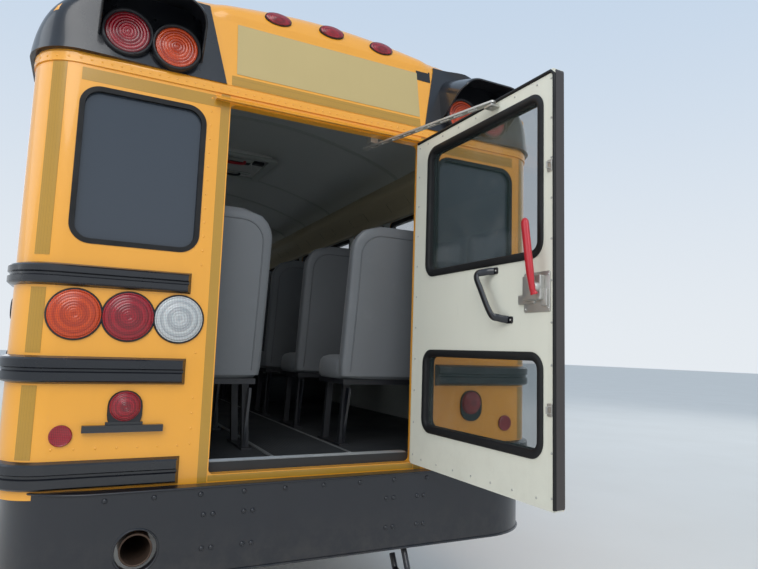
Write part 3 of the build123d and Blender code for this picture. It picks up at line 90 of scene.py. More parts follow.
def weave(grid, close_u=False, close_v=False):
    """A grid of points (nu, nv, 3) as vertices and quads, joined round where it closes."""
    nu, nv = grid.shape[:2]
    i = np.arange(nu if close_u else nu - 1)[:, None]
    j = np.arange(nv if close_v else nv - 1)[None, :]
    i2, j2 = (i + 1) % nu, (j + 1) % nv
    quads = np.stack([i * nv + j, i2 * nv + j, i2 * nv + j2, i * nv + j2], -1).reshape(-1, 4)
    return grid.reshape(-1, 3), quads


def gather(parts):
    """Several (vertices, quads) pairs as one."""
    verts, quads, start = [], [], 0
    for v, q in parts:
        verts.append(v)
        quads.append(q + start)
        start += len(v)
    return np.concatenate(verts), np.concatenate(quads)


def placed(local, origin, axis):
    """Local (a, b, h) points, h along the axis, set at origin: x takes (h, a, b), y takes (a, h, b), z takes
    (a, b, h)."""
    a, b, h = local[..., 0], local[..., 1], local[..., 2]
    order = {"x": (h, a, b), "y": (a, h, b), "z": (a, b, h)}[axis]
    return np.stack(order, -1) + np.array(origin, float)


def round_outline(half_a, half_b, r, inset, n=7):
    """A rectangle with quarter-circle corners, moved in by inset: n points a corner, anticlockwise."""
    inset = np.atleast_1d(np.asarray(inset, float))[:, None]
    t = np.linspace(0, math.pi / 2, n)
    quarter = np.concatenate([t + k * math.pi / 2 for k in range(4)])[None, :]
    sa = np.repeat([1, -1, -1, 1], n)[None, :]
    sb = np.repeat([1, 1, -1, -1], n)[None, :]
    rr = np.maximum(r - inset, 0.0004)
    a = sa * (half_a - inset - rr) + rr * np.cos(quarter)
    b = sb * (half_b - inset - rr) + rr * np.sin(quarter)
    return a, b


def slab(origin, half_a, half_b, r, h0, h1, bevel=0.002, axis="x"):
    """A plate with round corners and rounded edges: the outline moved in as a quarter circle at each face."""
    q = np.linspace(0, math.pi / 2, 4)
    inset = np.concatenate([[0], bevel * (1 - np.sin(q)), bevel * (1 - np.sin(q[::-1])), [0]])
    height = np.concatenate([[h0], h0 + bevel * (1 - np.cos(q)), h1 - bevel * (1 - np.cos(q[::-1])), [h1]])
    a, b = round_outline(half_a, half_b, r, inset, 6)
    a[[0, -1]] = b[[0, -1]] = 0
    return weave(placed(points(a, b, height[:, None]), origin, axis), close_v=True)


def rim(origin, half_a, half_b, r, profile, axis="x", n=8):
    """A closed ring: the profile of (inset, height) carried round a rectangle with quarter-circle corners."""
    p = np.array(profile, float)
    a, b = round_outline(half_a, half_b, r, p[:, 0], n)
    return weave(placed(points(a, b, p[:, 1:2]), origin, axis), close_u=True, close_v=True)


def turned(origin, profile, axis="x", n=36, ring=False):
    """A profile of (radius, height) turned about the axis."""
    p = np.array(profile, float)
    t = np.linspace(0, 2 * math.pi, n, endpoint=False)
    pts = points(p[:, :1] * np.cos(t), p[:, :1] * np.sin(t), p[:, 1:2])
    return weave(placed(pts, origin, axis), close_u=ring, close_v=True)


def faced(profile, way):
    """A profile of (radius, height) with its heights turned to face way, 1 or -1."""
    return [(a, way * b) for a, b in profile]


def pairs(a, b):
    """Two arrays as a profile, a list of pairs."""
    return list(zip(a.tolist(), b.tolist()))


def dome(r, height):
    """A profile that runs evenly from radius r in to the axis through the given heights."""
    return pairs(r * (1 - np.linspace(0, 1, len(height))), height)


def pipe(path, radius, n=10, flat=1.0):
    """A round section carried along a path, square to its direction, shrunk to a point at both ends."""
    path = np.asarray(path, float)
    run = np.gradient(path, axis=0)
    run /= np.linalg.norm(run, axis=1)[:, None]
    side = np.cross(run, np.eye(3)[int(np.argmin(np.abs(run).mean(0)))])
    side /= np.linalg.norm(side, axis=1)[:, None]
    up = np.cross(side, run)
    ends = [0, *range(len(path)), len(path) - 1]
    r = np.concatenate([[0.0], np.broadcast_to(np.asarray(radius, float), (len(path),)), [0.0]])
    t = np.linspace(0, 2 * math.pi, n, endpoint=False)[None, :, None]
    ring = side[ends][:, None] * np.cos(t) + up[ends][:, None] * np.sin(t) * flat
    return weave(path[ends][:, None] + r[:, None, None] * ring, close_v=True)


def smooth_path(path, n=8):
    """A line through the points with each bend eased: Catmull-Rom weights on n steps a run."""
    p = np.asarray(path, float)
    p = np.concatenate([2 * p[:1] - p[1:2], p, 2 * p[-1:] - p[-2:-1]])
    t = np.linspace(0, 1, n, endpoint=False)[None, :, None]
    a, b, c, d = p[:-3, None], p[1:-2, None], p[2:-1, None], p[3:, None]
    q = 0.5 * ((2 * b) + (c - a) * t + (2 * a - 5 * b + 4 * c - d) * t * t + (3 * b - a - 3 * c + d) * t ** 3)
    return np.concatenate([q.reshape(-1, 3), p[-2:-1]])


def bar(profile, x0, x1, axis="x"):
    """A closed profile of two coordinates carried straight along an axis, its ends drawn in to the middle."""
    p = np.array(profile, float)
    a, b = np.repeat(p[None, :, 0], 4, 0), np.repeat(p[None, :, 1], 4, 0)
    a[[0, -1]], b[[0, -1]] = p[:, 0].mean(), p[:, 1].mean()
    return weave(placed(points(a, b, np.array([[x0], [x0], [x1], [x1]])), (0, 0, 0), axis), close_v=True)


def studs(where, facing, radius, height, n=8):
    """Low domes, one at each point: a quarter ellipse turned about the direction that it faces."""
    where = np.asarray(where, float).reshape(-1, 3)
    facing = np.broadcast_to(np.asarray(facing, float), where.shape)
    facing = facing / np.linalg.norm(facing, axis=1)[:, None]
    ref = np.where(np.abs(facing[:, 2:3]) > 0.9, [[1.0, 0, 0]], [[0, 0, 1.0]])
    side = np.cross(facing, ref)
    side /= np.linalg.norm(side, axis=1)[:, None]
    up = np.cross(facing, side)
    t = np.linspace(0, 2 * math.pi, n, endpoint=False)
    lift = np.array([[1.0, -0.2], [1.0, 0.15], [0.72, 0.72], [0.0, 1.0]])
    local = points(radius * lift[:, :1] * np.cos(t), radius * lift[:, :1] * np.sin(t), height * lift[:, 1:2])
    a, b, h = (local[..., i, None, None] for i in range(3))
    pts = np.moveaxis(a * side + b * up + h * facing + where, 2, 0)
    base, quads = weave(pts[0], close_v=True)
    step = np.arange(len(where))[:, None, None] * len(base)
    return pts.reshape(-1, 3), (quads[None] + step).reshape(-1, 4)


def same(part):
    """The surface as it is, for the left side."""
    return part


def mirrored(part):
    """The same surface on the other side, its quads turned so that they still face out."""
    v, q = part
    return v * np.array([1, -1, 1.0]), q[:, ::-1]


def row(x0, x1, step):
    """Evenly spaced stations that start and end on the given ones."""
    return np.linspace(x0, x1, max(2, int(round((x1 - x0) / step)) + 1))


def piece(name, parts, finish, body="chassis", smooth=40.0, closed=True):
    """A mesh object from surfaces given by stations: moved to the row frame, doubles merged, closed shells
    faced outwards, then put on its body."""
    v, q = gather(parts)
    mesh = bpy.data.meshes.new(name)
    mesh.from_pydata((v + np.array([STATION, 0, 0])).tolist(), [], q.tolist())
    made = bmesh.new()
    made.from_mesh(mesh)
    bmesh.ops.remove_doubles(made, verts=made.verts, dist=2e-6)
    bmesh.ops.dissolve_degenerate(made, dist=1e-7, edges=made.edges)
    if closed:
        bmesh.ops.recalc_face_normals(made, faces=made.faces)
    made.to_mesh(mesh)
    made.free()
    mesh.polygons.foreach_set("use_smooth", np.ones(len(mesh.polygons), bool))
    mesh.set_sharp_from_angle(angle=math.radians(smooth))
    mesh.materials.append(FINISH[finish])
    obj = bpy.data.objects.new(name, mesh)
    bpy.context.scene.collection.objects.link(obj)
    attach(obj, body)
    return obj


# Outline of the body
def corner_plan(y):
    """Station of the rear corners, which are quarter circles in plan, at a width."""
    turn = np.clip(np.abs(np.asarray(y, float)) - (HALF - CORNER), 0, CORNER)
    return CORNER - np.sqrt(CORNER ** 2 - turn ** 2)


def rear_face(y, z):
    """Station of the finished rear skin: rounded corners in plan and the cap's lean above the belt."""
    return np.maximum(corner_plan(y), np.maximum(np.asarray(z, float) - CAP_Z, 0) * LEAN)


def solid_face(y, z):
    """Station of the solid model's rear skin, with its rounded corners in plan and its lean and top curve in
    profile."""
    z = np.asarray(z, float)
    lean = np.clip(z - CAP_Z, 0, 0.29) * 0.052 / 0.29
    cx, cz, r = 0.27517, 2.82506, 0.22456
    arc = cx - np.sqrt(np.maximum(r ** 2 - (np.clip(z, 2.85, 3.03) - cz) ** 2, 0))
    return np.maximum(corner_plan(y), np.where(z > 2.85, arc, lean))


def roof_line(y):
    """Height of the roof's outer skin at a width, for the wide crown and the two edge curves."""
    y = np.abs(np.asarray(y, float))
    crown = CROWN_C + np.sqrt(CROWN_R ** 2 - np.minimum(y, 1.03) ** 2)
    edge = EDGE_Z + np.sqrt(np.maximum(EDGE_R ** 2 - (y - EDGE_Y) ** 2, 0))
    return np.where(y > EDGE_Y * CROWN_R / (CROWN_R - EDGE_R), edge, crown)


def arc_roof(offset):
    """Points (y, z) over the roof, moved along the skin's normal by offset."""
    n, limit = 61, 1.165
    y = 0.35 * np.linspace(-limit, limit, n) + 0.65 * np.sin(np.linspace(-math.pi / 2, math.pi / 2, n)) * limit
    z = roof_line(y)
    dy, dz = np.gradient(y), np.gradient(z)
    size = np.hypot(dy, dz)
    return y - dz / size * offset, z + dy / size * offset


def on_door(x, s, z):
    """A point on the open rear door: x through the leaf, s from the hinge along it, both as when shut."""
    c, d = math.cos(DOOR_ANGLE), math.sin(DOOR_ANGLE)
    return points(DOOR_HINGE[0] + x * c - s * d, DOOR_HINGE[1] + x * d + s * c, z)


def swung(part):
    """A surface given on the shut leaf as (x, s, z) from the hinge, swung with the open door."""
    v, q = part
    return on_door(*v.T), q


# Finishes
def srgb(r, g, b):
    """A screen colour of 0 to 255 a channel as linear light."""
    c = np.array([r, g, b], float) / 255
    lin = np.where(c <= 0.04045, c / 12.92, ((c + 0.055) / 1.055) ** 2.4)
    return (*(float(x) for x in lin), 1.0)


def blank(name):
    """A new material, its tree and its shader."""
    m = bpy.data.materials.new(name)
    m.use_nodes = True
    t = m.node_tree
    t.nodes.clear()
    out = t.nodes.new("ShaderNodeOutputMaterial")
    shader = t.nodes.new("ShaderNodeBsdfPrincipled")
    t.links.new(shader.outputs[0], out.inputs[0])
    return m, t, shader


def feed(t, n, inputs):
    """Fill the inputs of a node: another node's socket is linked, a constant is set."""
    for k, v in inputs.items():
        if isinstance(v, bpy.types.NodeSocket):
            t.links.new(v, n.inputs[k])
        else:
            n.inputs[k].default_value = v
    return n


def node(t, kind, inputs=(), **props):
    """A new node with its properties set and its inputs fed."""
    n = t.nodes.new("ShaderNode" + kind)
    for k, v in props.items():
        setattr(n, k, v)
    return feed(t, n, dict(inputs))


def coordinates(t):
    """The piece's own coordinates."""
    return node(t, "TexCoord").outputs["Object"]


def maths(t, op, a, b=0.0, clamp=False):
    """The result of a sum on two values."""
    return node(t, "Math", {0: a, 1: b}, operation=op, use_clamp=clamp).outputs[0]


def mix(t, fac, a, b):
    """Colour a turned to colour b by a factor."""
    return node(t, "Mix", {0: fac, 6: a, 7: b}, data_type="RGBA").outputs[2]


def ramp(t, fac, low, high, to0=0.0, to1=1.0):
    """A smooth step of a value between low and high, from to0 to to1."""
    return node(t, "MapRange", {0: fac, 1: low, 2: high, 3: to0, 4: to1}, interpolation_type="SMOOTHSTEP").outputs[0]


def cloud(t, vector, scale, detail=4.0, rough=0.55, stretch=None):
    """Soft noise on the piece's own coordinates, drawn out along an axis where stretch says."""
    if stretch:
        vector = node(t, "Mapping", {0: vector, 3: stretch}).outputs[0]
    return node(t, "TexNoise", {"Vector": vector, "Scale": scale, "Detail": detail, "Roughness": rough}).outputs[0]


def shade(colour, k):
    """A colour made lighter or darker by a factor."""
    return (*(min(1.0, c * k) for c in colour[:3]), 1.0)


def bumped(t, height, strength, distance):
    """The normal that a height gives the surface."""
    return node(t, "Bump", {"Strength": strength, "Distance": distance, "Height": height}).outputs[0]


def coated(name, colour, rough=0.35, metal=0.0, coat=0.0, mottle=(0.05, 1.6), grain=(0.0, 260.0), dust=(0.0, 1.1),
           scuff=0.0, specular=0.5, dust_colour=(0.30, 0.25, 0.19, 1.0)):
    """Paint, plastic or metal: a cloudy tone, run marks down it, dust that thins out with height, and a fine
    grain. mottle and grain are pairs of strength and scale, dust is a pair of strength and the height where it
    ends."""
    m, t, shader = blank(name)
    at = coordinates(t)
    tone = cloud(t, at, mottle[1], 5.0)
    base = mix(t, tone, shade(colour, 1 - mottle[0]), shade(colour, 1 + mottle[0]))
    runs = cloud(t, at, 9.0, 3.0, 0.6, stretch=(1.0, 1.0, 0.06))
    base = mix(t, ramp(t, runs, 0.50, 0.75, 0.0, 2 * mottle[0]), base, shade(colour, 0.72))
    if dust[0]:
        z = node(t, "SeparateXYZ", {0: at}).outputs[2]
        low = ramp(t, z, 0.25, dust[1], 1.0, 0.0)
        flecks = ramp(t, cloud(t, at, 14.0, 6.0, 0.7), 0.36, 0.72)
        film = maths(t, "MULTIPLY", maths(t, "MULTIPLY", low, flecks), dust[0], True)
        base = mix(t, film, base, dust_colour)
    if scuff:
        marks = ramp(t, cloud(t, at, 30.0, 8.0, 0.75, stretch=(1.0, 1.0, 0.35)), 0.60, 0.70)
        base = mix(t, maths(t, "MULTIPLY", marks, scuff, True), base, shade(colour, 0.45))
    feed(t, shader, {"Base Color": base, "Metallic": metal, "Specular IOR Level": specular,
                     "Roughness": ramp(t, tone, 0.25, 0.8, max(0.02, rough * 0.82), min(1.0, rough * 1.22))})
    if coat:
        feed(t, shader, {"Coat Weight": coat, "Coat Roughness": 0.08})
    if grain[0]:
        feed(t, shader, {"Normal": bumped(t, cloud(t, at, grain[1], 3.0), grain[0], 0.002)})
    return m


def painted(m):
    """A coated material's tree, its shader and the colour that feeds it."""
    shader = next(n for n in m.node_tree.nodes if n.type == "BSDF_PRINCIPLED")
    return m.node_tree, shader, shader.inputs["Base Color"].links[0].from_socket


def shell_coat(name, outside, inside, axis, sign, white=None):
    """Body paint outside and liner paint inside, told apart by the way that the surface faces: outwards is the
    axis times sign, or away from the middle where sign is 0. The roof turns white above its eave line."""
    m = coated(name, outside, *BODY_COAT)
    t, shader, colour = painted(m)
    coord = node(t, "TexCoord")
    at = node(t, "SeparateXYZ", {0: coord.outputs["Object"]}).outputs
    facing = node(t, "SeparateXYZ", {0: coord.outputs["Normal"]}).outputs
    if white:
        colour = mix(t, ramp(t, at[2], EAVE - 0.001, EAVE + 0.001), colour, white)
    sideways = maths(t, "MULTIPLY", facing[1], maths(t, "SIGN", at[1]))
    away = maths(t, "MULTIPLY", facing["xyz".index(axis)], float(sign)) if sign else sideways
    within = maths(t, "LESS_THAN", away, -0.25)
    if sign:
        near_side = maths(t, "GREATER_THAN", maths(t, "ABSOLUTE", at[1]), 1.0)
        turned_in = maths(t, "MULTIPLY", maths(t, "LESS_THAN", sideways, -0.3), near_side)
        under = maths(t, "MULTIPLY", maths(t, "LESS_THAN", facing[2], -0.3), maths(t, "GREATER_THAN", at[2], 2.62))
        within = maths(t, "MAXIMUM", maths(t, "MAXIMUM", within, turned_in), under)
    feed(t, shader, {"Base Color": mix(t, within, colour, inside)})
    return m


def tinted(name, colour, alpha, rear=None):
    """Flat glass: a see-through sheet with a faint dusty film in its gloss; rear is a darker tint for the rear
    wall's panes."""
    m, t, shader = blank(name)
    at = coordinates(t)
    film = cloud(t, at, 5.0, 6.0, 0.7)
    base = mix(t, ramp(t, film, 0.45, 0.75, 0.0, 0.35), colour, srgb(150, 148, 140))
    feed(t, shader, {"Base Color": base, "Roughness": ramp(t, film, 0.3, 0.8, 0.03, 0.12), "Alpha": alpha, "IOR": 1.52,
                     "Coat Weight": 0.5, "Coat Roughness": 0.02})
    if rear:
        behind = maths(t, "LESS_THAN", node(t, "SeparateXYZ", {0: at}).outputs[0], STATION + 0.1)
        solid = maths(t, "ADD", maths(t, "MULTIPLY", behind, 0.95 - alpha), alpha)
        feed(t, shader, {"Base Color": mix(t, behind, base, rear), "Alpha": solid})
    m.surface_render_method = "DITHERED"
    return m


def lens(name, colour, deep, rough=0.18):
    """Moulded lens plastic: a deep tone under a glossy face, with a close pattern of small round prisms."""
    m, t, shader = blank(name)
    prism = 0.006
    cells = node(t, "TexVoronoi", {"Vector": coordinates(t), "Scale": 1.0 / prism, "Randomness": 0.0}).outputs[0]
    feed(t, shader, {"Base Color": mix(t, ramp(t, cells, 0.15, 0.75), colour, deep), "Roughness": rough,
                     "Coat Weight": 0.4, "Coat Roughness": 0.05, "Subsurface Weight": 0.12,
                     "Subsurface Radius": (0.01, 0.004, 0.003), "Normal": bumped(t, cells, 0.35, 0.0015)})
    return m


def vinyl(name, colour):
    """Coated cloth: fine leather pebble, a soft sheen and paler rubbed patches."""
    m, t, shader = blank(name)
    at = coordinates(t)
    tone = cloud(t, at, 2.6, 5.0)
    rubbed = ramp(t, cloud(t, at, 7.0, 7.0, 0.7), 0.55, 0.75, 0.0, 0.18)
    base = mix(t, rubbed, mix(t, tone, shade(colour, 0.90), shade(colour, 1.12)), shade(colour, 1.5))
    pebble = node(t, "TexVoronoi", {"Vector": at, "Scale": 620.0}, feature="SMOOTH_F1").outputs["Distance"]
    feed(t, shader, {"Base Color": base, "Roughness": ramp(t, tone, 0.3, 0.8, 0.42, 0.58), "Sheen Weight": 0.12,
                     "Sheen Roughness": 0.4, "Normal": bumped(t, pebble, 0.22, 0.0008)})
    return m


def tape(name, colour):
    """Retroreflective tape: small honeycomb cells under a clear film."""
    m, t, shader = blank(name)
    at = coordinates(t)
    cells = node(t, "TexVoronoi", {"Vector": at, "Scale": 210.0, "Randomness": 0.12}, feature="DISTANCE_TO_EDGE")
    cells = cells.outputs[0]
    base = mix(t, ramp(t, cells, 0.02, 0.10), shade(colour, 0.80), colour)
    base = mix(t, ramp(t, cloud(t, at, 6.0), 0.4, 0.7, 0.0, 0.18), base, shade(colour, 0.75))
    feed(t, shader, {"Base Color": base, "Roughness": 0.30, "Coat Weight": 0.45, "Coat Roughness": 0.12,
                     "Normal": bumped(t, cells, 0.15, 0.0004)})
    return m


# Looks in the order of coated(): roughness, metal, coat, mottle, grain, dust, scuff, specular, colour of the dust
BODY_COAT = (0.34, 0.0, 0.6, (0.035, 0.9), (0.03, 45.0), (0.4, 1.0))
NO_DUST = (0.0, 1.1)
COATS = {
    "black": ("black_enamel", (20, 22, 28), 0.30, 0.0, 0.4, (0.12, 3.0), (0.08, 70.0), (0.22, 1.1)),
    "black_trim": ("black_trim", (26, 27, 31), 0.5, 0.0, 0.0, (0.15, 6.0), (0.2, 160.0)),
    "bumper": ("bumper_black", (22, 24, 31), 0.34, 0.0, 0.3, (0.15, 2.5), (0.06, 40.0), (0.16, 0.85), 0.2),
    "rubber": ("window_rubber", (22, 22, 23), 0.62, 0.0, 0.0, (0.15, 12.0), (0.2, 300.0), NO_DUST, 0.0, 0.35),
    "tyre": ("tyre_rubber", (30, 30, 31), 0.82, 0.0, 0.0, (0.15, 8.0), (0.35, 380.0), (0.25, 1.4), 0.0, 0.25,
             (0.10, 0.092, 0.08, 1.0)),
    "sign": ("blank_sign_film", (190, 168, 112), 0.42, 0.0, 0.25, (0.03, 3.0), (0.03, 300.0)),
    "cream": ("door_cream", (226, 224, 208), 0.40, 0.0, 0.15, (0.05, 2.2), (0.06, 50.0), (0.25, 1.5), 0.10),
    "beige": ("header_beige", (184, 170, 138), 0.5, 0.0, 0.0, (0.06, 1.6), (0.1, 260.0)),
    "ceiling": ("ceiling_paint", (176, 182, 176), 0.5, 0.0, 0.0, (0.04, 1.6), (0.05, 260.0)),
    "steel": ("zinc_steel", (190, 188, 182), 0.42, 0.75, 0.0, (0.14, 14.0), (0.1, 120.0)),
    "bright": ("bright_steel", (214, 214, 214), 0.18, 1.0, 0.0, (0.05, 6.0)),
    "iron": ("dark_iron", (38, 36, 35), 0.6, 0.25, 0.0, (0.3, 7.0), (0.35, 80.0), (0.7, 1.2)),
    "rust": ("exhaust_steel", (92, 74, 62), 0.68, 0.45, 0.0, (0.35, 9.0), (0.5, 120.0), NO_DUST, 0.5),
    "red_grip": ("red_lever", (188, 30, 44), 0.34, 0.0, 0.3, (0.06, 16.0)),
    "grey_rim": ("wheel_steel", (24, 24, 26), 0.45, 0.1, 0.0, (0.15, 6.0), (0.15, 60.0), (0.6, 1.4)),
    "nut_steel": ("nut_steel", (150, 146, 140), 0.45, 0.7, 0.0, (0.2, 20.0), (0.1, 150.0), (0.5, 1.2)),
    "floor_rubber": ("floor_rubber", (40, 42, 44), 0.55, 0.0, 0.0, (0.3, 3.5), (0.25, 200.0), NO_DUST, 0.35),
    "aluminium": ("sill_aluminium", (176, 178, 178), 0.42, 0.85, 0.0, (0.12, 5.0), (0.15, 150.0), NO_DUST, 0.3),
    "mirror": ("mirror_glass", (225, 228, 230), 0.04, 1.0, 0.0, (0.01, 1.6)),
    "dash": ("dash_grey", (70, 72, 74), 0.55, 0.0, 0.0, (0.08, 1.6), (0.3, 400.0)),
    "stop_red": ("stop_red", (186, 16, 24), 0.38, 0.0, 0.3, (0.04, 1.6)),
}
FINISH = {}


def finishes(paint):
    """All the finishes, made once from the paint settings."""
    body, white = (*paint.body_colour, 1.0), (*paint.roof_colour, 1.0)
    liner = srgb(188, 190, 184)
    f = FINISH
    f["paint"] = coated("body_paint", body, *BODY_COAT)
    f["rear"] = shell_coat("rear_wall_paint", body, liner, "x", -1)
    f["front"] = shell_coat("front_wall_paint", body, liner, "x", 1)
    f["side"] = shell_coat("side_wall_paint", body, liner, "y", 0)
    f["roof"] = shell_coat("roof_paint", body, srgb(200, 204, 200), "z", 1, white)
    f["white"] = coated("white_paint", white, 0.42, 0.0, 0.2, (0.05, 2.0), (0.05, 60.0))
    for key, (name, colour, *look) in COATS.items():
        f[key] = coated(name, srgb(*colour), *look)
    f["glass"] = tinted("side_glass", srgb(120, 134, 128), 0.30, rear=srgb(52, 60, 70))
    f["door_glass"] = tinted("door_glass", srgb(46, 62, 60), 0.34)
    f["red_lens"] = lens("red_lens", srgb(176, 14, 36), srgb(92, 4, 14))
    f["amber_lens"] = lens("amber_lens", srgb(220, 78, 8), srgb(150, 36, 2))
    f["clear_lens"] = lens("clear_lens", srgb(214, 216, 214), srgb(140, 143, 146), 0.12)
    f["vinyl"] = vinyl("seat_vinyl", (*paint.seat_colour, 1.0))
    f["welt"] = coated("seat_welt", shade(paint.seat_colour, 0.8), 0.5, mottle=(0.05, 8.0))
    f["tape"] = tape("yellow_tape", (*paint.tape_colour, 1.0))
    f["white_tape"] = tape("white_tape", srgb(220, 222, 220))
    f["trim"] = trim_paint(f["paint"].copy())
    f["door"] = door_paint(f["cream"].copy(), body)


def trim_paint(m):
    """Body paint that turns black low down, for the trim below the floor line."""
    m.name = "trim_paint"
    t, shader, colour = painted(m)
    low = maths(t, "LESS_THAN", node(t, "SeparateXYZ", {0: coordinates(t)}).outputs[2], 1.2)
    feed(t, shader, {"Base Color": mix(t, low, colour, srgb(26, 27, 31))})
    return m


def door_paint(m, body):
    """Cream inside, body colour on the outer face and dark on the free edge, told apart by the place through
    and along the leaf."""
    m.name = "door_paint"
    t, shader, colour = painted(m)
    at = node(t, "SeparateXYZ", {0: coordinates(t)}).outputs
    c, d = math.cos(DOOR_ANGLE), math.sin(DOOR_ANGLE)
    hinge_x, hinge_y = DOOR_HINGE[0] + STATION, DOOR_HINGE[1]
    through = maths(t, "ADD", maths(t, "MULTIPLY", at[0], c), maths(t, "MULTIPLY", at[1], d))
    outer = maths(t, "LESS_THAN", through, 0.0165 + hinge_x * c + hinge_y * d)
    colour = mix(t, outer, colour, body)
    along = maths(t, "SUBTRACT", maths(t, "MULTIPLY", at[1], c), maths(t, "MULTIPLY", at[0], d))
    edge = maths(t, "GREATER_THAN", along, 0.951 + hinge_y * c - hinge_x * d)
    feed(t, shader, {"Base Color": mix(t, edge, colour, srgb(58, 52, 50))})
    return m


# The nodes of the frame under the finish that each takes
FINISHED_NODES = {
    "rear": ("rear_wall",),
    "front": ("front_wall",),
    "side": ("side_wall_left", "side_wall_right"),
    "roof": ("roof",),
    "black": ("rub_rails", "lamp_housings"),
    "trim": ("body_trim",),
    "rubber": ("window_frames", "rear_door_gaskets"),
    "glass": ("window_glass", "entry_leaf_front_glass", "entry_leaf_rear_glass"),
    "floor_rubber": ("floor", "floor_wells"),
    "vinyl": ("seat_cushions", "seat_backs"),
    "black_trim": ("seat_frames", "mirrors", "entry_leaf_front", "entry_leaf_rear", "grille", "hood_mirrors"),
    "dash": ("dashboard",),
    "iron": ("ladder_frame", "engine_block", "rear_axle", "leaf_springs", "front_axle", "underfloor_tanks",
             "knuckle_left", "knuckle_right", "tie_rod"),
    "rust": ("exhaust",),
    "bumper": ("rear_bumper", "front_bumper"),
    "red_lens": ("lamps_red",),
    "amber_lens": ("lamps_amber",),
    "clear_lens": ("lamps_clear", "headlamps"),
    "white": ("hatch_frames", "hatch_rear_lid", "hatch_front_lid"),
    "steel": ("hinge_bases", "rear_door_fittings", "hold_open_arm"),
    "door": ("rear_door_panel",),
    "door_glass": ("rear_door_glass",),
    "paint": ("hood",),
    "tyre": ("front_tyre_left", "front_tyre_right", "rear_tyres_left", "rear_tyres_right"),
    "grey_rim": ("front_rim_left", "front_rim_right", "rear_rims_left", "rear_rims_right"),
    "stop_red": ("stop_arm_rear", "stop_arm_front"),
}
NODE_FINISH = {name: key for key, names in FINISHED_NODES.items() for name in names}


# Settings
def colour_setting(name, description, r, g, b):
    """A colour setting that starts at a screen colour of 0 to 255 a channel."""
    return bpy.props.FloatVectorProperty(name=name, description=description, subtype="COLOR", size=3, min=0, max=1,
                                         default=srgb(r, g, b)[:3])


class BusPaint(bpy.types.PropertyGroup):
    """Colours of the body, roof, seats and tape."""

    body_colour: colour_setting("Body", "Yellow of the body panels", 240, 165, 46)
    roof_colour: colour_setting("Roof", "White of the roof", 224, 226, 224)
    seat_colour: colour_setting("Seats", "Grey of the seat covers", 101, 104, 107)
    tape_colour: colour_setting("Tape", "Gold of the reflective tape", 184, 138, 40)


class BusSeats(bpy.types.PropertyGroup):
    """Sizes of the padded seats."""

    crown: bpy.props.FloatProperty(
        name="Crown", description="How far the padding bulges", default=0.012, min=0, max=0.03, unit="LENGTH")
    welt: bpy.props.FloatProperty(
        name="Welt", description="Radius of the sewn edge welt", default=0.0042, min=0.001, max=0.01, unit="LENGTH")
    seam_in: bpy.props.FloatProperty(
        name="Seam inset", description="Width of the band between the seat's edge and its seam", default=0.045,
        min=0.01, max=0.1, unit="LENGTH")


class BusTyres(bpy.types.PropertyGroup):
    """Tread of the tyres."""

    blocks: bpy.props.IntProperty(
        name="Blocks", description="Tread blocks round a tyre", default=64, min=20, max=120)
    depth: bpy.props.FloatProperty(
        name="Groove depth", description="Depth of the tread grooves", default=0.012, min=0.002, max=0.02,
        unit="LENGTH")
    nuts: bpy.props.IntProperty(
        name="Nuts", description="Wheel nuts on each wheel", default=10, min=5, max=12)


class BusStage(bpy.types.PropertyGroup):
    """Camera and light."""

    focal: bpy.props.FloatProperty(
        name="Focal length", description="Camera focal length on a 36 mm sensor", default=36 * 594.5 / 758,
        min=10, max=200, unit="CAMERA")
    sky: bpy.props.FloatProperty(
        name="Sky", description="Strength of the overcast sky light", default=1.18, min=0, max=5)
    key: bpy.props.FloatProperty(
        name="Key light", description="Power of the large soft light behind the bus", default=620.0, min=0, max=10000)


# Rear end
def skin_strip(y0, y1, z0, z1, lift=TAPE_LIFT, ny=12, nz=12):
    """A thin decal on the rear skin: the skin's own surface over a patch of y and z, moved out by lift, with a
    back."""
    y, z = np.meshgrid(np.linspace(y0, y1, ny), np.linspace(z0, z1, nz), indexing="ij")
    e = 1e-3
    dy = (rear_face(y + e, z) - rear_face(y - e, z)) / (2 * e)
    dz = (rear_face(y, z + e) - rear_face(y, z - e)) / (2 * e)
    normal = points(-1.0, dy, dz)
    normal /= np.linalg.norm(normal, axis=-1)[..., None]
    base = points(rear_face(y, z), y, z)
    front, back = base + normal * lift, base + normal * (lift - TAPE_THICK)
    across = [0, *range(nz), nz - 1]
    loop = np.concatenate([back[:, :1], front, back[:, -1:]], 1)
    return weave(np.concatenate([back[:1, across], loop, back[-1:, across]]))


def corner_strip(z0, z1, side):
    """A strip of tape on the rounded rear corner: an arc of the corner between two widths."""
    a0, a1 = [math.asin((y - (HALF - CORNER)) / CORNER) for y in (1.103, 1.153)]
    a = np.linspace(a0, a1, 8)[:, None]
    r = CORNER + TAPE_LIFT
    return weave(points(CORNER - r * np.cos(a), side * (HALF - CORNER + r * np.sin(a)), np.linspace(z0, z1, 4)))


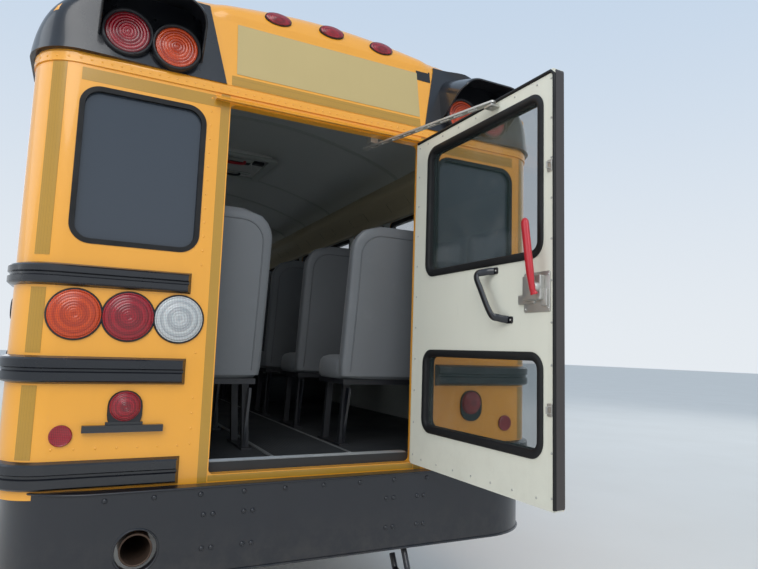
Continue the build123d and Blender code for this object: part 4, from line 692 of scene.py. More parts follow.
class BUS_OT_rear_tape(bpy.types.Operator):
    """Add the gold reflective tape, the blank sign and the bare patch at its corner on the rear wall"""

    bl_idname = "bus.rear_tape"
    bl_label = "Rear tape and blank sign"

    def execute(self, context):
        strips = []
        for side in (1, -1):
            strips += [corner_strip(z0, z1, side) for z0, z1 in ((1.770, 2.528), (1.405, 1.648), (1.020, 1.286))]
            for y0, y1, z0, z1 in ((0.516, 1.050, 2.466, 2.5165), (0.478, 0.515, 0.905, 2.528)):
                strips.append(skin_strip(*sorted((side * y0, side * y1)), z0, z1))
        strips.append(skin_strip(-0.474, 0.474, 0.908, 0.932, ny=20))
        strips.append(skin_strip(-0.474, 0.474, 2.577, 2.6245, lift=0.0026, ny=20))
        piece("rear_reflective_tape", strips, "tape", closed=False)
        piece("blank_sign", [skin_strip(-0.473, 0.453, 2.636, 2.888, 0.0032, 24, 16)], "sign", closed=False)
        piece("peeled_patch", [skin_strip(-0.552, -0.470, 2.850, 2.912, 0.0026)], "black_trim", closed=False)
        return {"FINISHED"}


class BUS_OT_rear_rivets(bpy.types.Operator):
    """Add rivets along the rear wall's belt, posts and cap seams"""

    bl_idname = "bus.rear_rivets"
    bl_label = "Rear rivets"

    def execute(self, context):
        belt_z, foot_z, cap_z = 2.548, 1.055, 2.605
        t = np.linspace(0.02, math.pi / 2 - 0.02, 7)
        r = CORNER + 0.006
        post = row(1.06, 2.50, 0.06)
        post = post[(np.abs(post - 1.345) > 0.07) & (np.abs(post - 1.70) > 0.06)]
        spots = [points(-0.006, row(-1.02, 1.02, 0.036), belt_z)]
        for side in (1, -1):
            spots += [points(CORNER - r * np.cos(t), side * (HALF - CORNER + r * np.sin(t)), belt_z),
                      points(0.0, side * 0.552, post), points(0.0, side * row(0.60, 1.04, 0.07), foot_z)]
        across = row(-0.47, 0.47, 0.047)
        spots.append(points(rear_face(across, cap_z), across, cap_z))
        x, y, _ = np.concatenate(spots).T
        bent = np.abs(y) > 1.06
        out = points(np.where(bent, x - CORNER, -1.0), np.where(bent, y - np.sign(y) * (HALF - CORNER), 0.0), 0.0)
        piece("rear_rivets", [studs(np.concatenate(spots), out, *RIVET)], "paint")
        return {"FINISHED"}


# Rear cap, its lamp pods and lamps
def half_width(z, d=0.0):
    """Half width of the body at a height, d outside the skin: straight up to the eave, the edge curve, then the
    crown."""
    z = np.asarray(z, float)
    edge = EDGE_Y + np.sqrt(np.maximum((EDGE_R + d) ** 2 - np.maximum(z - EDGE_Z, 0) ** 2, 0))
    crown = np.sqrt(np.maximum((CROWN_R + d) ** 2 - (z - CROWN_C) ** 2, 0))
    return np.where(z > CROWN_C + (CROWN_R + d) * math.sin(EDGE_TURN), crown, edge)


def front_face(z):
    """Station of the front cap's leaning face."""
    return FRONT_X - (z - 2.48) * 0.059 / 0.37


def in_old_cap(p):
    """Inside the plain cap of the solid model: behind its leaning face and top curve and below the roof."""
    x, y, z = p[..., 0], p[..., 1], p[..., 2]
    return (x > solid_face(y, z)) & (z < roof_line(y))


def in_cap(p):
    """Inside the cap of the photographed bus: its face leans on up and turns into the roof on a circle of
    radius r."""
    x, y, z = p[..., 0], p[..., 1], p[..., 2]
    r = 0.0912
    top = roof_line(y)
    cz = top - r
    cx = (cz - CAP_Z) * LEAN + 1.01577 * r
    corner = (x < cx) & (z > cz) & (np.hypot(x - cx, z - cz) > r)
    return (x > (z - CAP_Z) * LEAN) & (z < top) & ~corner


def reach(origin, way, inside):
    """Distance along each ray to the surface, by halving the span between a point inside and one outside."""
    low, high = np.zeros(way.shape[:-1]), np.full(way.shape[:-1], 0.9)
    halvings = 28
    for _ in range(halvings):
        mid = (low + high) / 2
        held = inside(origin + way * mid[..., None])
        low, high = np.where(held, mid, low), np.where(held, high, mid)
    return low


def smoothstep(v, a, b):
    """0 below a, 1 above b and an eased rise between them."""
    t = np.clip((v - a) / (b - a), 0, 1)
    return t * t * (3 - 2 * t)


def cap_cover():
    """The cap's middle panel: rays in upright planes meet the cap, a ledge stands 15 mm out over the sign and
    fades upward, and towards the corners the panel falls back to the solid's own skin."""
    turn = np.radians(np.concatenate([np.linspace(180, 118, 64), np.linspace(117, 84, 20)]))
    y, turn = np.broadcast_arrays(np.linspace(-1.0, 1.0, 81)[:, None], turn)
    way = points(np.cos(turn), 0.0, np.sin(turn))
    origin = points(0.27, y, 2.575)
    old, new = reach(origin, way, in_old_cap), reach(origin, way, in_cap)
    wide = np.abs(y)
    out = old + np.maximum(new - old, 0) * (1 - smoothstep(wide, 0.62, 0.98)) + 0.0014
    z = origin[..., 2] + way[..., 2] * out
    ledge = smoothstep(z, 2.900, 2.907) * (1 - smoothstep(z, 2.915, 3.02)) * (1 - smoothstep(wide, 0.50, 0.56))
    out = out + 0.015 * ledge - 0.004 * smoothstep(wide, 0.97, 1.0)
    return weave(origin + way * out[..., None])


def pod_skin(way):
    """The black skin on an upper corner: at each height a path along the face, round the corner and along the
    side, thin by the sign and thicker round the corner, its rim turned in."""
    low, high = 2.577, 2.945
    z = np.concatenate([[low], np.linspace(low, high, 30), [high]])[:, None]
    u = np.linspace(0, 1, 60)[None, :]
    inner = 0.496 + (z - low) * 0.082 / (high - low)
    bend = 0.193 + (0.09 - 0.193) * smoothstep(z, 2.60, 2.82)
    run = half_width(z, 0.026) - bend - inner
    a = np.clip(u / 0.45, 0, 1)
    b = np.clip((u - 0.45) / 0.3, 0, 1) * math.pi / 2
    c = np.clip((u - 0.75) / 0.25, 0, 1)
    thick = 0.006 + 0.020 * smoothstep(u, 0.12, 0.45)
    face = ((z - CAP_Z) * LEAN if way < 0 else FRONT_X - front_face(z)) - thick
    end = 0.42 if way < 0 else 0.325
    x = face + bend * (1 - np.cos(b)) + (end - face - bend) * c
    pts = points(x, inner + run * a + bend * np.sin(b), z)
    pts[[0, -1]] += np.array([0.035, -0.012, 0.0])
    pts = np.concatenate([pts[:, :1] + np.array([0.035, 0.0, 0.0]), pts], 1)
    if way > 0:
        pts[..., 0] = FRONT_X - pts[..., 0]
    return weave(pts)


def pod_visor(way):
    """One visor over both warning lamps: a round-cornered ring lofted from the face out to a smaller lip, its
    cheeks cut back to nothing at the bottom, 8 mm thick with a rolled lip."""
    t = np.linspace(0, math.pi / 2, 16)
    bend, thick = 0.105, 0.008

    def ring(y0, y1, z0, z1, inset):
        r = bend - inset
        rise = np.linspace(z0 + 0.012, z1 - bend, 14)
        left = np.stack([np.full(14, y1 - inset), rise], -1)
        right = np.stack([np.full(14, y0 + inset), rise[::-1]], -1)
        c1 = np.stack([y1 - bend + r * np.cos(t), z1 - bend + r * np.sin(t)], -1)
        c2 = np.stack([y0 + bend - r * np.sin(t), z1 - bend + r * np.cos(t)], -1)
        return np.concatenate([left, c1[1:], c2, right[1:]])
    foot_x, lip_x = (2.91 - CAP_Z) * LEAN + 0.03, -0.172
    loops = []
    out = np.linspace(0, 1, 16)
    for inset, order in ((0.0, out), (thick, out[::-1])):
        foot = ring(0.598, 1.014, 2.576, 2.910, inset)
        lip = ring(0.612, 1.002, 2.600, 2.824, inset)
        slope = np.maximum(0.190 - (lip[:, 1] - foot[:, 1]), 0.02)
        share = order[:, None] * np.clip((foot[:, 1] - 2.588) / slope, 0.0, 1.0)
        yz = foot + (lip - foot) * share[..., None]
        loops.append(points(foot_x + (lip_x - foot_x) * share, yz[..., 0], yz[..., 1]))
    roll = 0.5 * (loops[0][-1:] + loops[1][:1]) - np.array([0.003, 0, 0])
    pts = np.concatenate([loops[0], roll, loops[1]])
    if way > 0:
        pts[..., 0] = front_face(CAP_Z) - pts[..., 0]
    return weave(pts, close_u=True)


def lamp_parts(y, z, x, way):
    """A warning lamp about X: a deep black bezel with a rolled lip, a ribbed lens inside it and small screws
    round it."""
    r = 0.090
    k = np.linspace(0, 1, 60)
    ridge = 0.0016 * np.abs(np.sin(k * math.pi * 7)) * (k < 0.93)
    face = [(0.0, -0.03), (r * 0.945, -0.03)] + dome(r * 0.945, -0.002 + 0.011 * np.sin(k * math.pi / 2) + ridge)
    bezel = [(r + 0.009, -0.075), (r + 0.009, -0.004), (r + 0.008, 0.004), (r + 0.004, 0.009), (r - 0.001, 0.0095),
             (r - 0.005, 0.006), (r - 0.0065, -0.001), (r - 0.0065, -0.075)]
    t = np.radians(np.arange(9) * 40 + 10)
    spots = points(x + way * 0.0085, y + (r + 0.0005) * np.cos(t), z + (r + 0.0005) * np.sin(t))
    return (turned((x, y, z), faced(face, way), n=56), turned((x, y, z), faced(bezel, way), n=56, ring=True),
            studs(spots, (way, 0, 0), 0.0042, 0.0028))


def tail_lens(y, z, r, tall=0.026):
    """A round tail lens: a smooth rim, a shoulder and rings of prisms that rise to a flat middle."""
    k = np.linspace(0, 1, 64)
    ridge = 0.0012 * np.abs(np.sin(k * math.pi * 8)) * (k < 0.9)
    height = tall * 0.55 + tall * 0.45 * np.sin(np.minimum(k * 1.25, 1) * math.pi / 2) + ridge
    skirt = [(0.0, 0.0), (r, 0.0), (r, 0.007), (r * 0.985, 0.0095), (r * 0.95, 0.010), (r * 0.93, tall * 0.5)]
    return turned((0, y, z), faced(skirt + dome(r * 0.915, height), -1), n=60)


def oval_lamp(x, y, z, way, tilt, lens_part=True):
    """An oval clearance lamp facing out and up by tilt, ellipses stacked from its foot to a low ribbed dome, or
    its base."""
    t = np.linspace(0, 2 * math.pi, 40, endpoint=False)
    scale, rise = [0.0, 1.0, 1.0, 0.985, 0.93, 0.90], [-0.03, -0.03, 0.007, 0.0105, 0.0105, 0.002]
    if lens_part:
        k = np.linspace(0, 1, 26)
        crest = 0.013 + 0.009 * np.sin(k * math.pi / 2) + 0.0007 * np.abs(np.sin(k * 5 * math.pi))
        scale, rise = [0.0, 0.93, 0.93, 0.91, *(0.90 * (1 - k))], [-0.01, -0.01, 0.010, 0.0125, *crest]
    a = np.array(scale)[:, None] * 0.064 * np.cos(t)
    b = np.array(scale)[:, None] * 0.034 * np.sin(t)
    h = np.array(rise)[:, None]
    c, s = math.cos(math.radians(tilt)), math.sin(math.radians(tilt))
    return weave(points(x + way * (h * c - b * s), y + a, z + h * s + b * c), close_v=True)


class BUS_OT_rear_cap(bpy.types.Operator):
    """Build the cap's middle panel, the lamp pods, their visors and the warning and clearance lamps"""

    bl_idname = "bus.rear_cap"
    bl_label = "Caps, pods and warning lamps"

    def execute(self, context):
        piece("rear_cap_panel", [cap_cover()], "paint", closed=False, smooth=50)
        pods, bezels, screws, bases = [], [], [], []
        lenses = {"red": [], "amber": [], "clear": []}
        for way in (-1, 1):
            for part in (pod_skin(way), pod_visor(way)):
                pods += [part, mirrored(part)]
            for colour, y, z in (("red", 0.901, 2.692), ("amber", 0.712, 2.676)):
                x = (z - CAP_Z) * LEAN - 0.042 if way < 0 else front_face(z) + 0.042
                for side in (1, -1):
                    one, ring, dots = lamp_parts(side * y, z, x, way)
                    lenses[colour].append(one)
                    bezels.append(ring)
                    screws.append(dots)
            for y in (0.268, 0.0, -0.268):
                z = 2.981 - y * y / (2 * CROWN_R)
                spot = ((z - CAP_Z) * LEAN - 0.004, y, z, -1, 14.0) if way < 0 else (9.515, y, 2.972, 1, 50.0)
                lenses["red" if way < 0 else "amber"].append(oval_lamp(*spot))
                bases.append(oval_lamp(*spot, lens_part=False))
        for side in (1, -1):
            at = (0.485, side, 2.742)
            bases.append(slab(at, 0.044, 0.044, 0.008, side * 0.10, side * 0.205, 0.003, "y"))
            lenses["red"].append(slab(at, 0.039, 0.039, 0.010, side * 0.20, side * 0.256, 0.010, "y"))
        tail_z, tail_r = 1.553, 0.0925
        tail_rim = [(0.0985, 0.0), (0.0985, -0.005), (0.0955, -0.0085), (0.0925, -0.0085), (0.0920, 0.0)]
        for colour, y in (("amber", 1.003), ("red", 0.815), ("clear", 0.627)):
            for side in (1, -1):
                lenses[colour].append(tail_lens(side * y, tail_z, tail_r))
                bases.append(turned((0, side * y, tail_z), tail_rim, n=56, ring=True))
        button = [(0.0, 0.0), (0.039, 0.0), (0.039, -0.007), (0.036, -0.010), (0.033, -0.0085), (0.0, -0.0088)]
        for side in (1, -1):
            lenses["red"].append(tail_lens(side * 0.801, 1.210, 0.0565, 0.030))
            lenses["red"].append(turned((0, side * 1.013, 1.105), button, n=44))
            bases.append(slab((0, side * 0.801, 1.195), 0.062, 0.075, 0.058, -0.001, -0.0075, 0.003))
        made = {c: piece("lamp_lenses_" + c, p, c + "_lens", smooth=30) for c, p in lenses.items()}
        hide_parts("lamps_red")
        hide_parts("lamps_amber")
        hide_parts("lamps_clear")
        pod = piece("lamp_pods", pods, "black", closed=False)
        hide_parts("lamp_housings")
        piece("lamp_bezels", bezels + bases, "black_trim")
        piece("lamp_screws", screws, "black_trim")
        return {"FINISHED"}


# Rear door
class BUS_OT_rear_door(bpy.types.Operator):
    """Put the red lever, the black pull handle, the steel latch, seals and screws on the open rear door"""

    bl_idname = "bus.rear_door"
    bl_label = "Rear door fittings"

    def execute(self, context):
        face = 0.053
        knob = [(0.0, face + 0.02), (0.017, face + 0.02), (0.017, face + 0.040), (0.014, face + 0.044),
                (0.0, face + 0.044)]
        pin = [(0.0, 2.430), (0.0065, 2.430), (0.0065, 2.462), (0.0, 2.4625)]
        steel = [slab((0, 0.8635, 1.676), 0.0655, 0.071, 0.006, face, face + 0.004, 0.0015),
                 slab((0, 0.858, 1.690), 0.046, 0.044, 0.006, face + 0.003, face + 0.026, 0.004),
                 slab((0, 0.905, 1.655), 0.016, 0.030, 0.003, face + 0.003, face + 0.012),
                 slab((0, 0.815, 1.652), 0.043, 0.017, 0.004, face + 0.002, face + 0.010),
                 turned((0, 0.887, 1.690), knob, n=32),
                 slab((0, 0.622, 2.439), 0.024, 0.005, 0.002, face, 0.094, 0.0015),
                 turned((0.078, 0.622, 0.0), pin, "z", 20)]
        for s, z in ((0.925, 1.272), (0.925, 2.12)):
            steel.append(slab((0, s, z), 0.012, 0.022, 0.004, face, face + 0.003, 0.001))
            steel.append(pipe([(face, s, z - 0.012), (face + 0.016, s, z - 0.010), (face + 0.016, s, z + 0.010),
                               (face, s, z + 0.012)], 0.0032, 8))
        first = piece("rear_door_latch", [swung(p) for p in steel], "steel", "rear_door")
        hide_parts("rear_door_fittings")
        lever = smooth_path([(face + 0.040, 0.890, 1.664), (face + 0.048, 0.887, 1.69), (face + 0.052, 0.879, 1.76),
                             (face + 0.055, 0.867, 1.86), (face + 0.057, 0.858, 1.935)], 12)
        k = np.linspace(0, 1, len(lever))
        grip = 0.0125 + 0.0045 * smoothstep(k, 0.25, 0.5) + 0.004 * (1 - smoothstep(k, 0.0, 0.14))
        grip[-3:] = [0.0165, 0.0135, 0.008]
        piece("red_lever", [swung(pipe(lever, grip, 20, flat=0.62))], "red_grip", "rear_door", smooth=60)
        bend = smooth_path([(face + 0.004, 0.626, 1.775), (face + 0.028, 0.604, 1.772), (face + 0.048, 0.572, 1.760),
                            (face + 0.047, 0.600, 1.700), (face + 0.042, 0.655, 1.606), (face + 0.026, 0.682, 1.590),
                            (face + 0.004, 0.712, 1.583)], 10)
        handle = [pipe(bend, 0.0140, 14, flat=0.5)]
        for s, z in ((0.628, 1.776), (0.716, 1.582)):
            handle.append(slab((0, s, z), 0.020, 0.013, 0.006, face, face + 0.005, 0.0015))
        outer = [slab((0, 0.865, 1.675), 0.026, 0.032, 0.010, -0.010, 0.015, 0.004),
                 slab((0, 0.825, 1.675), 0.066, 0.0115, 0.006, -0.036, -0.014, 0.005)]
        piece("pull_handle", [swung(p) for p in handle + outer], "black", "rear_door", smooth=50)
        edge = [(0.052, 0.030, 2.468), (0.052, 0.50, 2.468), (0.052, 0.929, 2.468), (0.052, 0.946, 2.451),
                (0.052, 0.946, 1.70), (0.052, 0.946, 0.950)]
        seal = [pipe(edge, 0.0075)]
        lip = [(-0.007, 0.0), (-0.008, 0.003), (-0.004, 0.0065), (0.004, 0.0085), (0.013, 0.0085), (0.020, 0.0055),
               (0.0235, 0.001), (0.0235, -0.002)]
        for s0, s1, z0, z1 in ((0.130, 0.886, 1.805, 2.405), (0.126, 0.886, 1.105, 1.458)):
            for x, way in ((0.0525, 1), (0.0155, -1)):
                seal.append(rim((0, (s0 + s1) / 2, (z0 + z1) / 2), (s1 - s0) / 2, (z1 - z0) / 2, 0.055,
                                [(a, x + way * b) for a, b in lip], n=10))
        piece("rear_door_seals", [swung(p) for p in seal], "rubber", "rear_door", smooth=50)
        spots = [(face, s, z) for z in row(0.985, 2.44, 0.145) for s in (0.048, 0.932)]
        spots += [(face, s, z) for s in row(0.12, 0.86, 0.123) for z in (0.972, 2.443)]
        on_plates = ((0.806, 1.735), (0.922, 1.735), (0.922, 1.617), (0.806, 1.617), (0.620, 1.776), (0.637, 1.776),
                     (0.708, 1.582), (0.724, 1.582))
        spots += [(face + 0.0045, s, z) for s, z in on_plates]
        piece("rear_door_screws", [swung(studs(spots, (1, 0, 0), 0.0045, 0.0026))], "steel", "rear_door")
        return {"FINISHED"}


# Inside
def crests(count):
    """The wave of a ribbed top, four steps a rib: low, high, high, low."""
    return np.tile([0.0, 1.0, 1.0, 0.0], count + 1)[:4 * count + 1]


def ribbed(y0, y1, count, low, high, x0, x1):
    """A mat whose top is a row of ribs: flat crests and gutters across it, carried straight along it."""
    top = pairs(np.linspace(y0, y1, 4 * count + 1), low + (high - low) * (0.45 + 0.55 * crests(count)))
    return bar(top + [(y1, low - 0.001), (y0, low - 0.001)], x0, x1)


class BUS_OT_inside(bpy.types.Operator):
    """Lay the ribbed aisle, its metal strips and sill plate, and fit the header panels, roof bows and hatch handles"""

    bl_idname = "bus.inside"
    bl_label = "Aisle, headers and roof bows"

    def execute(self, context):
        aisle_x, sill_ribs = 0.0985, 6
        piece("aisle_mat", [ribbed(-0.185, 0.175, 24, FLOOR, FLOOR + 0.0045, aisle_x, 9.25)], "floor_rubber")
        strips = []
        for y in (-0.192, 0.182):
            section = [(y - 0.010, FLOOR), (y - 0.009, FLOOR + 0.004), (y - 0.003, FLOOR + 0.006),
                       (y + 0.003, FLOOR + 0.006), (y + 0.009, FLOOR + 0.004), (y + 0.010, FLOOR)]
            strips.append(bar(section, aisle_x, 8.70))
        sill = pairs(np.linspace(0.052, 0.0925, 4 * sill_ribs + 1), FLOOR + 0.0025 + 0.002 * crests(sill_ribs))
        sill = [(0.046, 0.9625), (0.046, FLOOR + 0.002)] + sill + [(0.0975, FLOOR - 0.001), (0.052, FLOOR - 0.001)]
        strips.append(bar(sill, -0.462, 0.462, "y"))
        piece("aisle_strips", strips, "aluminium")
        headers, slots = [], []
        profile = [(1.174, 2.486), (1.150, 2.486), (1.128, 2.497), (1.020, 2.618), (1.014, 2.640), (1.020, 2.668),
                   (1.055, 2.735), (1.09, 2.76)]
        for side in (1, -1):
            headers.append(bar([(side * a, b) for a, b in profile], 0.32, 9.18))
            for k in range(len(WINDOWS)):
                x = 0.50 + BAY * k
                u = points([x, x + 0.30, x + 0.30, x], [1.103, 1.103, 1.049, 1.049], [2.5255, 2.5255, 2.5860, 2.5860])
                u = u * np.array([1, side, 1.0])
                back = u + np.array([0, side * 0.006, 0.006])
                front = u - np.array([0, side * 0.0012, 0.0012])
                slots.append(weave(np.stack([back, front, front * 0.999 + u * 0.001, back]), close_v=True))
        piece("header_panels", headers, "beige")
        piece("header_slots", slots, "black_trim", closed=False)
        foot, crest = arc_roof(-WALL - 0.001), arc_roof(-WALL - 0.0045)
        section = ((-0.024, foot), (-0.019, crest), (0.019, crest), (0.024, foot))
        bows = []
        for x in np.concatenate([[0.36], row(0.72, 9.1, BAY)]):
            if min(abs(x - hatch) for hatch in HATCHES) >= 0.32:
                bows.append(weave(np.stack([points(x + dx, *line) for dx, line in section])))
        piece("roof_bows", bows, "ceiling", closed=False)
        trims, red_parts, black_parts_and_painted_shade = [], [], []
        frame_lip = [(0.0, 2.962), (0.0, 2.946), (0.008, 2.940), (0.060, 2.940), (0.068, 2.946), (0.068, 2.962)]
        for x in HATCHES:
            red_x, black_x = x - 0.20, x + 0.17
            trims.append(rim((x, 0, 0), 0.345, 0.345, 0.05, frame_lip, "z"))
            grip = [(red_x, -0.10, 2.955), (red_x, -0.08, 2.925), (red_x, 0.08, 2.925), (red_x, 0.10, 2.955)]
            red_parts.append(pipe(smooth_path(grip), 0.011, 12))
            grip = [(black_x, -0.14, 2.965), (black_x, -0.12, 2.935), (black_x, 0.12, 2.935), (black_x, 0.14, 2.965)]
            black_parts_and_painted_shade.append(pipe(smooth_path(grip), 0.009, 12))
            for y in (-0.21, 0.21):
                black_parts_and_painted_shade.append(slab((red_x, y, 0), 0.03, 0.045, 0.008, 2.935, 2.958, 0.004, "z"))
            # The black sheet across the hatch opening, just above the roof skin, is painted shade: it stands in for
            # the dark recess up inside the hatch.
            black_parts_and_painted_shade.append(slab((x, 0, 0), 0.235, 0.235, 0.03, 3.052, 3.060, 0.003, "z"))
            trims.append(slab((red_x, 0, 0), 0.028, 0.235, 0.006, 2.948, 2.958, 0.003, "z"))
            trims.append(slab((black_x, 0, 0), 0.022, 0.235, 0.006, 2.955, 2.965, 0.003, "z"))
        piece("hatch_trims", trims, "ceiling")
        piece("hatch_red_handles", red_parts, "red_grip")
        piece("hatch_black_handles_and_painted_shade", black_parts_and_painted_shade, "black_trim")
        return {"FINISHED"}


# Bumpers
class BUS_OT_bumpers(bpy.types.Operator):
    """Add the bolts, the edge beads, the rim of the exhaust's opening and the rolled tailpipe edge to the rear bumper"""

    bl_idname = "bus.bumpers"
    bl_label = "Bumper details"

    def execute(self, context):
        face = -0.075
        plate_y = (-0.477, 0.477, -0.32, 0.32)
        heads = [(face, y + dy, z) for y in plate_y for z in (0.800, 0.675) for dy in (-0.018, 0.018)]
        heads += [(face, y, 0.878) for y in row(-0.85, 0.85, 0.17)]
        piece("bumper_bolts", [studs(heads, (-1, 0, 0), 0.010, 0.006, 12)], "bumper")
        t = np.linspace(0, math.pi / 2, 16)
        r, top = 0.33 + 0.003, 0.9035
        corner = np.stack([0.255 - r * np.cos(t), 0.875 + r * np.sin(t)], -1)
        path = np.concatenate([[[-0.078, 0.0]], [[-0.078, 0.55]], corner, [[0.285, 1.208]]])
        x, y = np.concatenate([path[::-1], path[1:] * np.array([1, -1.0])]).T
        edges = [pipe(points(x, y, z), 0.0045) for z in (top, top - 0.323)]
        hole = [(0.082, 0.002), (0.082, -0.002), (0.079, -0.005), (0.075, -0.003), (0.0735, 0.004), (0.074, 0.03),
                (0.078, 0.03)]
        edges.append(turned((face, 0.732, 0.691), hole, n=56, ring=True))
        rolled = [(0.0585, 0.012), (0.0590, -0.001), (0.0560, -0.0035), (0.0530, -0.001), (0.0525, 0.012)]
        piece("bumper_edges", edges, "bumper")
        piece("tailpipe_lip", [turned((-0.062, 0.732, 0.691), rolled, n=48, ring=True)], "rust")
        return {"FINISHED"}


# Seats
def superellipse(n, power):
    """Cosine and sine at n places round, squared off by a power."""
    t = np.linspace(0, 2 * math.pi, n, endpoint=False)
    return [np.sign(w) * np.abs(w) ** (2 / power) for w in (np.cos(t), np.sin(t))]


def cushioned(levels, power, n=40):
    """A padded block: at each level a superellipse of half sizes a, b round a centre; levels end in a point at
    each side. levels is an array with columns height, a, b, centre x, centre y."""
    z, a, b, x, y = np.asarray(levels, float).T[..., None]
    c, s = superellipse(n, power)
    return weave(points(x + a * c, y + b * s, z), close_v=True)


def back_pad(x, y_in, y_out, tray, top, crown):
    """A high seat back: superellipse sections up a leaning line, thick below and thin above, its top rounded
    over and its aisle corner wider, with the padding crowned by a sine across the height."""
    lowest, r = 0.014, 0.135
    rise = np.concatenate([[0, 0.004], 0.012 + np.linspace(0, 1, 26) ** 0.9 * 0.988, [1.0]])
    z = tray + lowest + (top - tray - lowest) * np.clip(rise, 0, 1)
    v = (z - z[0]) / (z[-1] - z[0])
    front = x + 0.082 - 0.124 * v
    rear = x - 0.004 - 0.112 * v
    depth = (front - rear) / 2 * (1 - np.clip((v - 0.93) / 0.07, 0, 1) ** 2 * 0.55)
    depth = depth + crown * 0.35 * np.sin(math.pi * v)
    depth[[0, -1]] = 0.0
    near_top = np.clip((z - (top - r)) / r, 0, 1)
    near_low = np.clip((tray + 0.06 - z) / 0.06, 0, 1)
    pull = r * (1 - np.sqrt(np.maximum(1 - near_top ** 2, 0.0))) + 0.012 * near_low ** 2
    a0, a1 = y_in + pull, y_out - pull * 0.75
    half = np.maximum((a1 - a0) / 2, 0.001)
    half[0] = half[1] * 0.9
    return np.stack([z, depth, half, (front + rear) / 2, (a1 + a0) / 2], -1)


def seat_seam(lv, inset, face):
    """A seam on the back's front (1) or rear (-1): up beside the aisle edge, round the top corner, over to the
    wall and down, at inset from the outline, its depth taken from the superellipse at that place."""
    foot, r = 1.345, 0.10
    z_line = lv[-1, 0] - inset * 1.15
    t = np.linspace(0, math.pi / 2, 9)
    y0, y1 = lv[8, 4] - lv[8, 2] + inset, lv[8, 4] + lv[8, 2] - inset
    up = np.stack([np.full(22, y0), np.linspace(foot, z_line - r, 22)], -1)
    bend = np.stack([y0 + r - r * np.cos(t), z_line - r + r * np.sin(t)], -1)
    over = np.stack([np.linspace(y0 + r, y1 - r, 14), np.full(14, z_line)], -1)
    fall = np.stack([y1 - r + r * np.sin(t), z_line - r + r * np.cos(t)], -1)
    down = np.stack([np.full(8, y1), np.linspace(z_line - r, foot, 8)], -1)
    y, z = np.concatenate([up, bend[1:], over[1:], fall[1:], down[1:]]).T
    depth, half, mid, centre = [np.interp(z, lv[:, 0], lv[:, i]) for i in (1, 2, 3, 4)]
    k = np.clip(np.abs((y - centre) / half), 0, 0.985)
    return points(mid + face * (depth * (1 - k ** 6) ** (1 / 6) - 0.0012), y, z)


def seat_cushion(x, y_in, y_out, tray, crown):
    """A bench cushion: superellipse sections stacked from the tray up, the top crowned and its front edge
    rolled."""
    length, thick, rear = 0.394, 0.116, 0.010
    k = np.array([0.0, 0.0, 0.10, 0.30, 0.55, 0.78, 0.92, 1.0, 1.0, 1.0])[:, None]
    inset = np.array([1.0, 0.012, 0.002, 0.0, 0.0, 0.004, 0.016, 0.045, 0.14, 1.0])[:, None]
    halves = (length - rear) / 2, (y_out - y_in) / 2
    cx, cy = x + rear + halves[0], (y_in + y_out) / 2
    ax, ay = [np.where(inset >= 1.0, 0.0, half - np.minimum(inset, half)) for half in halves]
    c, s = superellipse(64, 7)
    gx, gy = cx + ax * c, cy + ay * s
    fx = np.clip((gx - x) / length, 0, 1)
    fy = (gy - cy) / halves[1]
    lift = np.where(k >= 0.9, 1.0, k) * crown * (1 - fy ** 4) * (0.35 + 0.65 * np.sin(math.pi * fx))
    roll = np.where(k > 0.5, 0.03, 0.0) * np.clip((fx - 0.82) / 0.18, 0, 1) ** 2
    return weave(points(gx, gy, tray + 0.001 + thick * k + lift - roll), close_v=True)


